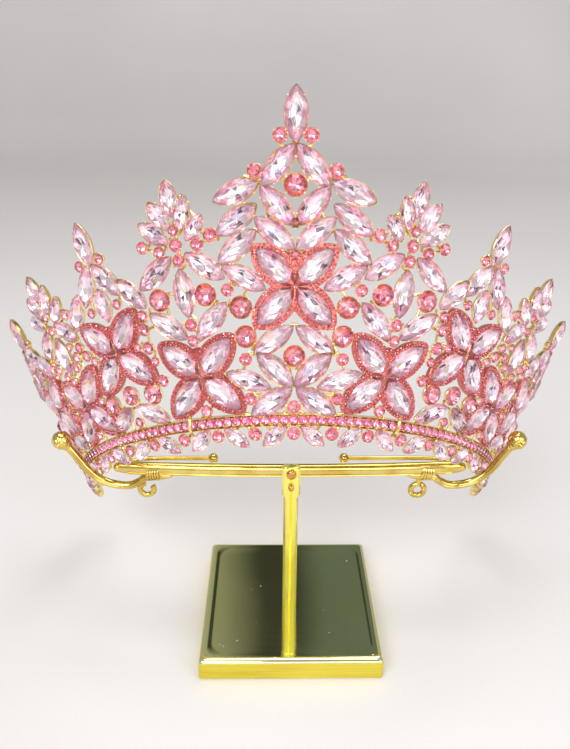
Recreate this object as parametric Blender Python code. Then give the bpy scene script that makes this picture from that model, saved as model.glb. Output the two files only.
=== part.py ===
"""Jewelled tiara resting on the hooked bar of a small display stand.

The tables below are in millimetres and degrees.  The tiara's front lies on a
cone that opens upward and leans back, so every stone is given by its turn
round the ring and its height along the slope.
"""
import math

import bmesh
import bpy
from mathutils import Matrix, Vector

MM = 0.001

# the display stand
PLATE_SIDE = 62.0
PLATE_HEIGHT = 8.0
PLATE_BEVEL = 0.6
POST_WIDTH = 5.0
POST_DEPTH = 4.4
POST_HEAD_WIDTH = 6.2
POST_HEAD_HEIGHT = 10.8
POST_HEIGHT = 57.0
SCREW_HEIGHT = 0.9
# clamp screws: name, level above the plate's top, diameter
SCREWS = (("screw_upper", 54.7, 3.4), ("screw_lower", 49.4, 2.0))
BAR_DEPTH = 3.8
BAR_HEIGHT = 4.4
TUBE_RADIUS = 1.45
BALL_RADIUS = 3.3
LOOP_RADIUS = 2.4
LOOP_WIRE = 0.75
STAY_RADIUS = 0.8
STAY_BALL = 1.5

# the tiara's ring and slope
RING_RADIUS = 79.4
RING_TILT = math.radians(45.7)
RING_BACK = 39.2
RING_RISE = 26.2 + PLATE_HEIGHT
FLARE = math.radians(32.4)
BAND_END = 98.0
BAND_HALF_HEIGHT = 1.9
BAND_INSIDE = -2.3
BAND_OUTSIDE = 0.5
PIECE_GAP = 0.3

# a setting and its stone, as distances from the slope along its outward side
PAN_BACK = -2.6
PAN_FRONT = -PIECE_GAP
PAN_SPREAD = 0.75
SMALL_SPREAD = 1.2
SMALL_STONE = 4.0
FOIL_BACK = 0.0
GIRDLE = 0.7
TABLE = 2.1
TABLE_SHARE = 0.55
FUSED_TABLE = 1.7
FUSED_SHARE = 0.62
HALO_RIM = 1.25
HALO_FRONT = -0.55
STRUT_WIDTH = 1.8
STRUT_BACK = -2.35
STRUT_FRONT = -0.95
SHORT_EDGE = 0.25

# outlines seen from the front, as shares of half width and half length
MARQUISE = (
    (0.0, 1.0), (0.70, 0.52), (1.0, 0.0), (0.70, -0.52),
    (0.0, -1.0), (-0.70, -0.52), (-1.0, 0.0), (-0.70, 0.52),
)
ROUND = tuple(
    (math.sin(math.radians(22.5 + 45.0 * k)) / math.cos(math.radians(22.5)) * 0.98,
     math.cos(math.radians(22.5 + 45.0 * k)) / math.cos(math.radians(22.5)) * 0.98)
    for k in range(8)
)

# columns: name, turn, height, lean, length, width, own solid
# a stone off the middle line is set again, mirrored, on the other side
CENTRE_COLUMN = (
    ("spire_tip", 0.0, 87.4, 0.0, 15.8, 6.8, True),
    ("spire_drop", 2.25, 80.6, 0.0, 3.8, 3.8, False),
    ("spire_cap", 2.75, 73.6, -40.0, 13.6, 5.8, True),
    ("cap_side", 6.3, 71.9, 0.0, 3.8, 3.8, False),
    ("spire_heart", 0.0, 68.2, 0.0, 6.0, 6.0, False),
    ("leaf_upper", 8.9, 66.9, -74.0, 13.2, 5.6, True),
    ("vee_upper", 3.0, 62.4, 40.0, 13.2, 5.4, True),
    ("leaf_middle", 9.2, 59.4, -60.0, 13.6, 5.8, True),
    ("vee_lower", 3.3, 55.0, 50.0, 13.0, 5.2, True),
    ("leaf_lower", 9.3, 51.7, -54.0, 13.8, 5.8, True),
    ("vee_drop", 0.0, 49.0, 0.0, 3.0, 3.0, False),
    ("wing", 8.5, 43.4, 58.0, 12.4, 5.0, False),
    ("outer_round", 15.1, 39.0, 0.0, 6.4, 6.4, False),
    ("wing_drop", 11.8, 39.4, 0.0, 3.4, 3.4, False),
    ("flank_upper", 9.2, 34.4, 0.0, 6.4, 6.4, False),
    ("flank_lower", 9.3, 26.3, 0.0, 6.4, 6.4, False),
    ("flank_drop", 9.4, 20.2, 0.0, 3.6, 3.6, False),
    ("ring_leaf", 4.1, 24.6, -57.0, 12.6, 5.0, False),
    ("ring_heart", 0.0, 19.2, 0.0, 6.0, 6.0, False),
    ("base_heart", 0.0, 4.0, 0.0, 3.8, 3.8, False),
    ("base_wing", 9.3, 12.6, 69.0, 12.0, 4.8, False),
    ("base_drop", 9.4, 6.8, 0.0, 3.6, 3.6, False),
)
SECOND_COLUMN = (
    ("spray_tip", 18.7, 68.2, 3.0, 10.0, 4.8, False),
    ("spray_inner", 16.9, 63.4, -24.0, 9.2, 4.4, False),
    ("spray_outer", 20.5, 63.4, 30.0, 9.2, 4.4, False),
    ("spray_low_inner", 15.2, 58.7, -44.0, 9.2, 4.4, False),
    ("spray_low_outer", 22.0, 58.8, 48.0, 9.8, 4.4, False),
    ("spray_bud", 18.6, 58.6, 0.0, 3.0, 3.0, False),
    ("stem_upper", 18.6, 54.4, 0.0, 3.8, 3.8, False),
    ("stem_lower", 18.6, 49.9, 0.0, 3.6, 3.6, False),
    ("bead_inner_low", 15.7, 53.2, 0.0, 3.6, 3.6, False),
    ("bead_inner_high", 13.3, 56.0, 0.0, 3.6, 3.6, False),
    ("bead_outer_low", 21.6, 53.1, 0.0, 3.6, 3.6, False),
    ("bead_outer_high", 24.3, 55.6, 0.0, 3.6, 3.6, False),
    ("spread_outer", 23.1, 47.4, -58.0, 13.6, 5.4, False),
    ("stalk", 18.7, 40.3, 0.0, 13.6, 5.6, False),
    ("spread_inner", 14.5, 47.3, 52.0, 12.6, 5.2, False),
    ("side_round", 23.5, 39.5, 0.0, 6.4, 6.4, False),
    ("lap_outer", 23.0, 31.4, 50.0, 13.8, 5.4, False),
    ("lap_inner", 14.6, 31.2, -47.0, 13.2, 5.2, False),
    ("lap_drop", 18.6, 30.7, 0.0, 3.6, 3.6, False),
    ("crest_drop", 18.7, 25.9, 0.0, 3.4, 3.4, False),
    ("foot_drop", 18.7, 4.1, 0.0, 3.6, 3.6, False),
)
THIRD_COLUMN = (
    ("side_tip", 35.1, 62.0, 0.0, 13.4, 5.8, False),
    ("leg_inner", 32.9, 49.8, 34.0, 12.8, 5.4, False),
    ("leg_outer", 37.6, 49.8, -32.0, 12.8, 5.4, False),
    ("side_leaf_inner", 28.7, 43.4, 37.0, 12.0, 5.2, False),
    ("side_leaf_outer", 42.4, 43.4, -37.0, 12.0, 5.2, False),
    ("side_heart", 35.3, 42.6, 0.0, 9.6, 5.0, False),
    ("base_round_inner", 30.4, 11.9, 0.0, 5.8, 5.8, False),
    ("base_round_middle", 36.4, 13.4, 0.0, 5.4, 5.4, False),
    ("base_round_outer", 42.6, 11.9, 0.0, 5.8, 5.8, False),
    ("base_leaf_inner", 31.9, 5.9, 60.0, 12.0, 4.6, False),
    ("base_leaf_outer", 41.1, 5.9, -60.0, 12.0, 4.6, False),
)
FOURTH_COLUMN = (
    ("far_tip", 51.8, 57.6, 2.0, 10.0, 4.8, False),
    ("far_inner", 49.8, 53.0, -26.0, 9.0, 4.4, False),
    ("far_outer", 53.8, 53.0, 30.0, 9.0, 4.4, False),
    ("far_low_inner", 47.9, 48.2, -46.0, 8.8, 4.2, False),
    ("far_low_outer", 55.6, 48.2, 48.0, 8.8, 4.2, False),
    ("far_spread_inner", 47.6, 40.0, 46.0, 11.0, 4.8, False),
    ("far_spread_outer", 56.0, 40.0, -46.0, 11.0, 4.8, False),
    ("far_stalk", 51.8, 33.4, 0.0, 12.8, 5.2, False),
)
FIFTH_COLUMN = (
    ("end_tip", 68.9, 53.8, 0.0, 13.0, 5.6, False),
    ("end_leg_inner", 66.3, 41.8, 34.0, 12.4, 5.2, False),
    ("end_leg_outer", 71.5, 41.8, -34.0, 12.4, 5.2, False),
    ("end_leaf_inner", 61.8, 35.6, 38.0, 11.6, 5.0, False),
    ("end_leaf_outer", 76.0, 35.6, -38.0, 11.6, 5.0, False),
    ("end_heart", 68.9, 35.0, 0.0, 9.0, 4.8, False),
    ("end_round_inner", 60.8, 18.6, 0.0, 4.8, 4.8, False),
    ("end_round_outer", 77.0, 18.6, 0.0, 4.8, 4.8, False),
    ("end_base_inner", 63.4, 5.6, 62.0, 11.4, 4.4, False),
    ("end_base_outer", 74.4, 5.6, -62.0, 11.4, 4.4, False),
    ("taper_leaf", 83.2, 8.8, -48.0, 12.8, 5.2, False),
    ("taper_round", 89.4, 5.9, 0.0, 4.8, 4.8, False),
    ("taper_tip", 94.2, 4.1, -78.0, 6.4, 3.2, False),
)
ALL_COLUMNS = (CENTRE_COLUMN, SECOND_COLUMN, THIRD_COLUMN, FOURTH_COLUMN, FIFTH_COLUMN)

# four-petalled flowers: name, turn, height, lean of lower petals, haloed,
# petals as own solids
FLOWERS = (
    ("great_flower", 0.0, 39.8, 135.0, True, True),
    ("base_flower", 0.0, 10.7, 123.0, False, True),
    ("second_flower", 18.7, 14.6, 135.0, True, True),
    ("third_flower", 36.4, 27.0, 135.0, True, True),
    ("fourth_flower", 52.0, 14.4, 135.0, True, False),
    ("fifth_flower", 68.9, 20.2, 135.0, True, False),
)
PETAL_LENGTH = 13.2
PETAL_WIDTH = 5.6
PETAL_REACH = 7.75
PETAL_LEAN = 45.0

# the hanging row under the band: height, lean, length and width of a leaf
HANGING_PITCH = 8.6
HANGING_LEAVES = 11
HANGING_LEAF = (-4.7, 50.0, 7.2, 3.9)


def slope_frame(turn, height):
    """Return the point on the tiara's slope and its three directions."""
    t = math.radians(turn)
    axis = Vector((0.0, math.sin(RING_TILT), math.cos(RING_TILT)))
    front = Vector((0.0, -math.cos(RING_TILT), math.sin(RING_TILT)))
    side = Vector((1.0, 0.0, 0.0))
    out = side * math.sin(t) + front * math.cos(t)
    radius = RING_RADIUS + height * math.sin(FLARE)
    point = Vector((0.0, RING_BACK, RING_RISE)) + axis * (height * math.cos(FLARE)) + out * radius
    across = side * math.cos(t) - front * math.sin(t)
    up = axis * math.cos(FLARE) + out * math.sin(FLARE)
    return point, across, up, across.cross(up)


def flat_place(turn, height):
    """Return where a point of the slope falls when the cone is unrolled."""
    reach = RING_RADIUS / math.sin(FLARE) + height
    angle = math.radians(turn) * math.sin(FLARE)
    return reach * math.sin(angle), reach * math.cos(angle) - RING_RADIUS / math.sin(FLARE)


def outline_points(shape, lean, length, width):
    """Turn an outline of shares into points across and up the slope."""
    c = math.cos(math.radians(lean))
    s = math.sin(math.radians(lean))
    points = []
    for across, up in shape:
        x = across * width / 2.0
        y = up * length / 2.0
        points.append((x * c + y * s, -x * s + y * c))
    return points


def new_object(name, mesh):
    """Link a mesh in metres to the scene under its name."""
    data = bpy.data.meshes.new(name)
    bmesh.ops.recalc_face_normals(mesh, faces=mesh.faces)
    mesh.to_mesh(data)
    mesh.free()
    made = bpy.data.objects.new(name, data)
    bpy.context.scene.collection.objects.link(made)
    return made


def loft(mesh, rings, close_ends=True):
    """Skin closed rings of equal count and cap the two ends."""
    made = [[mesh.verts.new(Vector(p) * MM) for p in ring] for ring in rings]
    count = len(made[0])
    for low, high in zip(made, made[1:]):
        for k in range(count):
            n = (k + 1) % count
            mesh.faces.new((low[k], low[n], high[n], high[k]))
    if close_ends:
        mesh.faces.new(list(reversed(made[0])))
        mesh.faces.new(made[-1])
    return made


def raised_rings(turn, height, points, levels):
    """Stand scaled copies of an outline on the slope at the given depths."""
    origin, across, up, out = slope_frame(turn, height)
    rings = []
    for depth, share, grow in levels:
        ring = []
        for x, y in points:
            size = math.hypot(x, y)
            k = share * (size + grow) / size
            ring.append(origin + across * (x * k) + up * (y * k) + out * depth)
        rings.append(ring)
    return rings


def cut_stone(name, turn, height, points):
    """A stone of its own: flat back, girdle, crown facets and a table."""
    mesh = bmesh.new()
    levels = ((FOIL_BACK, 1.0, 0.0), (GIRDLE, 1.0, 0.0), (TABLE, TABLE_SHARE, 0.0))
    loft(mesh, raised_rings(turn, height, points, levels))
    return new_object(name, mesh)


def pan(turn, height, points, jitter, haloed):
    """The flat setting behind a stone of its own, wider where it is haloed."""
    mesh = bmesh.new()
    rim = HALO_RIM if haloed else 0.4
    levels = ((PAN_BACK + jitter, 1.0, max(rim, PAN_SPREAD)), (PAN_FRONT, 1.0, rim))
    loft(mesh, raised_rings(turn, height, points, levels))
    return new_object("pan", mesh)


def spread_of(points):
    """A small stone has the wider foot, so that it reaches its neighbours."""
    size = max(math.hypot(x, y) for x, y in points)
    return SMALL_SPREAD if size < SMALL_STONE / 2.0 else PAN_SPREAD


def fused_stone(turn, height, points, jitter, haloed):
    """A smaller stone, soldered in with its setting and cut to a table."""
    mesh = bmesh.new()
    levels = ((PAN_BACK + jitter, 1.0, spread_of(points)), (FUSED_TABLE, FUSED_SHARE, 0.0))
    if haloed:
        levels = (
            (PAN_BACK + jitter, 1.0, HALO_RIM), (HALO_FRONT, 1.0, HALO_RIM),
            (HALO_FRONT, 1.0, 0.0), (FUSED_TABLE, FUSED_SHARE, 0.0),
        )
    loft(mesh, raised_rings(turn, height, points, levels))
    return new_object("setting", mesh)


def band():
    """The band that carries the channel of small stones."""
    mesh = bmesh.new()
    steps = 46
    rings = []
    section = (
        (-BAND_HALF_HEIGHT, BAND_INSIDE), (BAND_HALF_HEIGHT, BAND_INSIDE),
        (BAND_HALF_HEIGHT, BAND_OUTSIDE), (-BAND_HALF_HEIGHT, BAND_OUTSIDE),
    )
    for k in range(steps + 1):
        turn = -BAND_END + 2.0 * BAND_END * k / steps
        rings.append([
            (lambda f, d: f[0] + f[3] * d)(slope_frame(turn, h), d)
            for h, d in section
        ])
    loft(mesh, rings)
    return new_object("band", mesh)


def strut(start, end, jitter):
    """A short three-sided wire behind two settings, from point to point."""
    mesh = bmesh.new()
    rings = []
    for turn, height, ahead in ((*start, 0), (*end, 1)):
        origin, across, up, out = slope_frame(turn, height)
        rings.append((origin, out))
    along = (rings[1][0] - rings[0][0]).normalized()
    made = []
    for origin, out in rings:
        side = along.cross(out).normalized() * (STRUT_WIDTH / 2.0)
        made.append([
            origin - side + out * (STRUT_BACK + jitter),
            origin + side + out * (STRUT_BACK + jitter),
            origin + out * STRUT_FRONT,
        ])
    loft(mesh, made)
    return new_object("strut", mesh)


def tube(mesh, path, radii, sides, flat=1.0, start_angle=0.0):
    """Sweep a round or oval section along a path of points."""
    points = [Vector(p) for p in path]
    rings = []
    for k, point in enumerate(points):
        before = points[max(k - 1, 0)]
        after = points[min(k + 1, len(points) - 1)]
        along = (after - before).normalized()
        side = along.cross(Vector((0.0, 1.0, 0.0)))
        if side.length < 0.1:
            side = along.cross(Vector((0.0, 0.0, 1.0)))
        side.normalize()
        other = side.cross(along).normalized()
        ring = []
        for n in range(sides):
            a = start_angle + 2.0 * math.pi * n / sides
            ring.append(point + side * (math.cos(a) * radii[k]) + other * (math.sin(a) * radii[k] * flat))
        rings.append(ring)
    loft(mesh, rings)


def ball(mesh, centre, radius, segments, rings):
    """Add a faceted ball at a point."""
    spot = Matrix.Translation(Vector(centre) * MM)
    bmesh.ops.create_uvsphere(
        mesh, u_segments=segments, v_segments=rings, radius=radius * MM, matrix=spot,
    )


def stone_list():
    """Expand the tables into one entry per stone on both sides."""
    stones = []
    for column in ALL_COLUMNS:
        for name, turn, height, lean, length, width, own in column:
            shape = ROUND if length == width else MARQUISE
            for sign, suffix in sides_of(turn):
                points = outline_points(shape, sign * lean, length, width)
                stones.append((name + suffix, sign * turn, height, points, own, False))
    for name, turn, height, low, haloed, own in FLOWERS:
        leans = (
            ("outer_up", PETAL_LEAN), ("outer_down", low),
            ("inner_down", -low), ("inner_up", -PETAL_LEAN),
        )
        for sign, suffix in sides_of(turn):
            for part, lean in leans:
                petal_turn, petal_height = step_on_slope(turn, height, lean, PETAL_REACH)
                points = outline_points(MARQUISE, sign * lean, PETAL_LENGTH, PETAL_WIDTH)
                place = (sign * petal_turn, petal_height)
                stones.append((name + "_" + part + suffix, *place, points, own, haloed))
    for index in range(HANGING_LEAVES):
        height, lean, length, width = HANGING_LEAF
        for sign in (1.0, -1.0):
            swing = lean if index % 2 else -lean
            points = outline_points(MARQUISE, sign * swing, length, width)
            place = (sign * (index + 0.5) * HANGING_PITCH, height)
            stones.append(("hanging_leaf", *place, points, False, False))
    return stones


def sides_of(turn):
    """A stone on the middle line stands once, any other twice."""
    if turn == 0.0:
        return ((1.0, ""),)
    return ((1.0, "_right"), (-1.0, "_left"))


def step_on_slope(turn, height, lean, reach):
    """Move along the slope from a point in a leaning direction."""
    x, y = flat_place(turn, height)
    angle = math.radians(turn) * math.sin(FLARE) + math.radians(lean)
    return slope_place(x + reach * math.sin(angle), y + reach * math.cos(angle))


def slope_place(x, y):
    """Return turn and height of a point of the unrolled cone."""
    start = RING_RADIUS / math.sin(FLARE)
    reach = math.hypot(x, y + start)
    angle = math.atan2(x, y + start)
    return math.degrees(angle / math.sin(FLARE)), reach - start


def flat_outline(turn, height, points, grow=0.0):
    """An outline as it lies on the unrolled cone."""
    x0, y0 = flat_place(turn, height)
    angle = math.radians(turn) * math.sin(FLARE)
    c = math.cos(angle)
    s = math.sin(angle)
    placed = []
    for x, y in points:
        size = math.hypot(x, y)
        k = (size + grow) / size
        placed.append((x0 + k * (x * c + y * s), y0 + k * (-x * s + y * c)))
    return placed


def parting(first, second):
    """Widest gap (or least overlap, below zero) between two convex outlines."""
    best = -1e9
    for one, two in ((first, second), (second, first)):
        for k in range(len(one)):
            ax, ay = one[k - 1]
            bx, by = one[k]
            nx = by - ay
            ny = ax - bx
            size = math.hypot(nx, ny)
            inner = max(((p[0] - ax) * nx + (p[1] - ay) * ny) / size for p in one)
            sign = -1.0 if inner > 1e-6 else 1.0
            gap = min(sign * ((p[0] - ax) * nx + (p[1] - ay) * ny) / size for p in two)
            best = max(best, gap)
    return best


def edge_samples(outline):
    """Corners and middles of the sides of an outline."""
    samples = []
    for k in range(len(outline)):
        ax, ay = outline[k - 1]
        bx, by = outline[k]
        samples.append((bx, by))
        samples.append(((ax + bx) / 2.0, (ay + by) / 2.0))
    return samples


def find_root(parents, item):
    """Follow the joined items to the one that stands for them."""
    while parents[item] != item:
        item = parents[item]
    return item


def strut_ends(first, second):
    """Nearest points of two outlines, each moved a little inside its own."""
    best = None
    for ax, ay in edge_samples(first):
        for bx, by in edge_samples(second):
            gap = math.hypot(ax - bx, ay - by)
            if best is None or gap < best[0]:
                best = (gap, (ax, ay), (bx, by))
    ends = []
    for (x, y), outline in ((best[1], first), (best[2], second)):
        cx = sum(p[0] for p in outline) / len(outline)
        cy = sum(p[1] for p in outline) / len(outline)
        size = math.hypot(cx - x, cy - y)
        step = min(1.5, 0.8 * size)
        ends.append((x + (cx - x) * step / size, y + (cy - y) * step / size))
    return ends


def band_outlines():
    """Short straight pieces of the band on the unrolled cone."""
    pieces = []
    step = 4.0
    count = int(2 * BAND_END / step)
    for k in range(count):
        start = -BAND_END + k * step
        corners = (
            (start, -BAND_HALF_HEIGHT), (start, BAND_HALF_HEIGHT),
            (start + step, BAND_HALF_HEIGHT), (start + step, -BAND_HALF_HEIGHT),
        )
        pieces.append([flat_place(t, h) for t, h in corners])
    return pieces


def plan_struts(stones):
    """Choose the fewest short wires that tie every setting to the band."""
    outlines = [
        flat_outline(t, h, p, HALO_RIM if haloed else 0.8 * spread_of(p))
        for n, t, h, p, own, haloed in stones
    ]
    outlines += band_outlines()
    parents = list(range(len(outlines)))
    for k in range(len(stones) + 1, len(outlines)):
        parents[find_root(parents, k)] = find_root(parents, len(stones))
    loose = []
    for i in range(len(stones)):
        for j in range(i + 1, len(outlines)):
            ax, ay = outlines[i][0]
            bx, by = outlines[j][0]
            if math.hypot(ax - bx, ay - by) > 26.0:
                continue
            gap = parting(outlines[i], outlines[j])
            if gap < -0.3:
                parents[find_root(parents, i)] = find_root(parents, j)
            elif gap < 6.0:
                loose.append((round(gap, 2), i, j))
    loose.sort()
    struts = []
    for gap, i, j in loose:
        if find_root(parents, i) == find_root(parents, j):
            continue
        parents[find_root(parents, i)] = find_root(parents, j)
        ends = strut_ends(outlines[i], outlines[j])
        struts.append(ends)
    return mirrored_struts(struts)


def mirrored_struts(struts):
    """Set every wire on both sides and drop the doubles."""
    kept = []
    for start, end in struts:
        for sign in (1.0, -1.0):
            pair = ((sign * start[0], start[1]), (sign * end[0], end[1]))
            middle = ((pair[0][0] + pair[1][0]) / 2.0, (pair[0][1] + pair[1][1]) / 2.0)
            near = False
            for other in kept:
                x = (other[0][0] + other[1][0]) / 2.0
                y = (other[0][1] + other[1][1]) / 2.0
                if math.hypot(x - middle[0], y - middle[1]) < 1.2:
                    near = True
            if not near:
                kept.append(pair)
    return kept


def keeps_facing(moved, fixed, spot):
    """Tell whether the triangles round a corner stay unturned at a new spot."""
    for face in moved.link_faces:
        if fixed in face.verts:
            continue
        corners = [spot if v is moved else v.co for v in face.verts]
        normal = (corners[1] - corners[0]).cross(corners[2] - corners[0])
        if normal.length < 1e-12 or normal.normalized().dot(face.normal) < 0.5:
            return False
    return True


def clear_short_edges(mesh, limit):
    """Weld away the short edges that a fused seam leaves behind."""
    for _ in range(6):
        short = sorted(
            (e for e in mesh.edges if e.calc_length() < limit), key=lambda e: e.calc_length(),
        )
        done = 0
        touched = set()
        for edge in short:
            if not edge.is_valid:
                continue
            one, two = edge.verts
            if one in touched or two in touched:
                continue
            near_one = {e.other_vert(one) for e in one.link_edges}
            near_two = {e.other_vert(two) for e in two.link_edges}
            shared = near_one & near_two
            if len(shared) != 2 or len(edge.link_faces) != 2:
                continue
            if min(len(v.link_edges) for v in shared) < 4:
                continue
            if (near_one | near_two) & touched:
                continue
            for kept, gone in ((one, two), (two, one)):
                if keeps_facing(gone, kept, kept.co):
                    touched |= near_one | near_two
                    bmesh.ops.weld_verts(mesh, targetmap={gone: kept})
                    done += 1
                    break
        mesh.normal_update()
        if not done:
            break


def join_all(name, pieces):
    """Fuse overlapping solids into one closed body."""
    base = pieces[0]
    group = bpy.data.collections.new(name + "_pieces")
    bpy.context.scene.collection.children.link(group)
    for piece in pieces[1:]:
        bpy.context.scene.collection.objects.unlink(piece)
        group.objects.link(piece)
    cut = base.modifiers.new("fuse", "BOOLEAN")
    cut.operation = "UNION"
    cut.solver = "EXACT"
    cut.operand_type = "COLLECTION"
    cut.collection = group
    bpy.context.view_layer.update()
    evaluated = base.evaluated_get(bpy.context.evaluated_depsgraph_get())
    data = bpy.data.meshes.new_from_object(evaluated)
    tidy = bmesh.new()
    tidy.from_mesh(data)
    bmesh.ops.dissolve_limit(
        tidy, angle_limit=math.radians(0.05), verts=tidy.verts[:], edges=tidy.edges[:],
    )
    bmesh.ops.triangulate(tidy, faces=tidy.faces[:])
    clear_short_edges(tidy, SHORT_EDGE * MM)
    tidy.to_mesh(data)
    tidy.free()
    for piece in pieces[1:]:
        bpy.data.objects.remove(piece, do_unlink=True)
    bpy.data.collections.remove(group)
    base.modifiers.clear()
    base.data = data
    base.name = name
    return base


def make_tiara():
    """Build the soldered frame and the stones that stand on it."""
    stones = stone_list()
    pieces = [band()]
    for index, (name, turn, height, points, own, haloed) in enumerate(stones):
        jitter = 0.05 * ((index * 5) % 7 - 3)
        if own:
            pieces.append(pan(turn, height, points, jitter, haloed))
            cut_stone(name, turn, height, points)
        else:
            pieces.append(fused_stone(turn, height, points, jitter, haloed))
    for index, (start, end) in enumerate(plan_struts(stones)):
        jitter = 0.03 * (index % 5 - 2)
        pieces.append(strut(slope_place(*start), slope_place(*end), jitter))
    return join_all("tiara_frame", pieces)


def plate():
    """The square foot plate with softened edges."""
    mesh = bmesh.new()
    size = Matrix.Diagonal((PLATE_SIDE * MM, PLATE_SIDE * MM, PLATE_HEIGHT * MM, 1.0))
    lift = Matrix.Translation((0.0, 0.0, PLATE_HEIGHT * MM / 2.0))
    bmesh.ops.create_cube(mesh, size=1.0, matrix=lift @ size)
    bmesh.ops.bevel(
        mesh, geom=mesh.edges[:], offset=PLATE_BEVEL * MM, segments=1,
        affect="EDGES", profile=0.5, material=-1,
    )
    return new_object("stand_plate", mesh)


def square_ring(half_x, low_y, high_y, z):
    """Corners of a level rectangle."""
    return [(-half_x, low_y, z), (half_x, low_y, z), (half_x, high_y, z), (-half_x, high_y, z)]


def post():
    """The upright with its wider clamp head."""
    mesh = bmesh.new()
    half = POST_WIDTH / 2.0
    deep = POST_DEPTH / 2.0
    head = POST_HEAD_WIDTH / 2.0
    low = PLATE_HEIGHT + PIECE_GAP
    top = PLATE_HEIGHT + POST_HEIGHT
    neck = top - POST_HEAD_HEIGHT
    rings = [
        square_ring(half, -deep, deep, low),
        square_ring(half, -deep, deep, neck - 1.2),
        square_ring(head, -deep - 0.3, deep, neck),
        square_ring(head, -deep - 0.3, deep, top - 1.8),
        square_ring(head, -deep - 0.3, 0.9, top - 0.5),
        square_ring(head - 0.5, -deep + 0.1, 0.2, top),
    ]
    loft(mesh, rings)
    return new_object("stand_post", mesh)


def screw(name, level, diameter):
    """A small domed screw head on the front of the clamp."""
    mesh = bmesh.new()
    face = -POST_DEPTH / 2.0 - 0.3 - PIECE_GAP
    rings = []
    for depth, share in ((0.0, 1.0), (0.45, 1.0), (SCREW_HEIGHT, 0.6)):
        ring = []
        for k in range(12):
            a = math.radians(30.0 * k)
            radius = share * diameter / 2.0
            ring.append((radius * math.cos(a), face - depth, PLATE_HEIGHT + level + radius * math.sin(a)))
        rings.append(ring)
    loft(mesh, rings)
    return new_object(name, mesh)


# paths of the hooked bar, seen from above the plate's top
BAR_PATH = (
    (60.3, 8.2, 50.9), (59.3, 8.0, 50.95), (52.0, 6.9, 51.3), (40.0, 5.9, 51.5), (24.0, 5.0, 51.7), (8.0, 4.6, 51.8),
)
BAR_SIZE = (0.45, 0.8, 1.0, 1.0, 1.0, 1.0)
HOOK_PATH = (
    (41.0, 6.0, 48.9), (43.5, 6.2, 48.7), (50.0, 6.8, 47.9), (52.6, 7.1, 45.9), (56.0, 7.4, 44.0), (60.0, 7.8, 43.7),
    (64.6, 8.0, 44.8), (68.4, 8.0, 47.3), (71.4, 8.1, 50.6), (73.7, 8.3, 54.2), (75.9, 8.6, 57.4), (77.6, 8.9, 59.6),
)
HOOK_SIZE = (0.45, 0.9, 1.0, 1.0, 1.0, 1.0, 1.0, 1.0, 1.0, 1.0, 1.0, 1.0)
HOOK_BALL = (79.0, 9.0, 61.2)
COLLAR_PATH = ((45.2, 6.3, 50.2), (49.6, 6.7, 49.6))
COLLAR_RADIUS = 3.1
LOOP_CENTRES = ((-50.6, 7.0, 42.6), (45.2, 6.6, 42.4))
LOOP_STEM = ((45.2, 6.6, 44.4), (45.6, 6.6, 48.4))
STAY_PATHS = (
    ((-27.4, 13.0, 51.5), (-46.0, 13.0, 51.5), (-54.0, 12.2, 51.4), (-58.4, 8.6, 51.2)),
    ((19.2, 13.0, 51.5), (46.0, 13.0, 51.5), (54.0, 12.2, 51.4), (58.4, 8.6, 51.2)),
)


def lifted(path, sign=1.0):
    """Set a path on the plate's top, mirrored if the sign is negative."""
    return [(sign * x, y, z + PLATE_HEIGHT) for x, y, z in path]


def hooked_bar():
    """The clamped bar with its two hooks, collars, loops and stays."""
    pieces = []
    mesh = bmesh.new()
    right = lifted(BAR_PATH)
    left = [(-x, y, z) for x, y, z in right]
    sizes = list(BAR_SIZE) + list(reversed(BAR_SIZE))
    radii = [s * BAR_HEIGHT / 2.0 for s in sizes]
    tube(mesh, right + list(reversed(left)), radii, 8, BAR_DEPTH / BAR_HEIGHT)
    pieces.append(new_object("bar", mesh))
    for sign in (1.0, -1.0):
        mesh = bmesh.new()
        tube(mesh, lifted(HOOK_PATH, sign), [s * TUBE_RADIUS for s in HOOK_SIZE], 8)
        pieces.append(new_object("hook", mesh))
        mesh = bmesh.new()
        ball(mesh, lifted((HOOK_BALL,), sign)[0], BALL_RADIUS, 10, 7)
        pieces.append(new_object("hook_ball", mesh))
        mesh = bmesh.new()
        tube(mesh, lifted(COLLAR_PATH, sign), [COLLAR_RADIUS, COLLAR_RADIUS], 10)
        pieces.append(new_object("collar", mesh))
    for (x, y, z), span in zip(LOOP_CENTRES, (290.0, 330.0)):
        mesh = bmesh.new()
        turns = 10
        path = []
        for k in range(turns + 1):
            a = math.radians(100.0 + span * k / turns)
            path.append((x + LOOP_RADIUS * math.cos(a), y, z + PLATE_HEIGHT + LOOP_RADIUS * math.sin(a)))
        loop_tube(mesh, path)
        pieces.append(new_object("loop", mesh))
    mesh = bmesh.new()
    tube(mesh, lifted(LOOP_STEM), [LOOP_WIRE, LOOP_WIRE], 8)
    pieces.append(new_object("loop_stem", mesh))
    for path in STAY_PATHS:
        mesh = bmesh.new()
        tube(mesh, lifted(path), [STAY_RADIUS] * len(path), 6)
        pieces.append(new_object("stay", mesh))
        mesh = bmesh.new()
        ball(mesh, lifted(path)[0], STAY_BALL, 10, 5)
        pieces.append(new_object("stay_ball", mesh))
    return join_all("hooked_bar", pieces)


def loop_tube(mesh, path):
    """Sweep a round wire along a loop that stands upright."""
    points = [Vector(p) for p in path]
    rings = []
    for k, point in enumerate(points):
        along = (points[min(k + 1, len(points) - 1)] - points[max(k - 1, 0)]).normalized()
        across = Vector((0.0, 1.0, 0.0))
        other = along.cross(across).normalized()
        ring = []
        for n in range(6):
            a = 2.0 * math.pi * n / 6
            ring.append(point + (across * math.cos(a) + other * math.sin(a)) * LOOP_WIRE)
        rings.append(ring)
    loft(mesh, rings)


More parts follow.
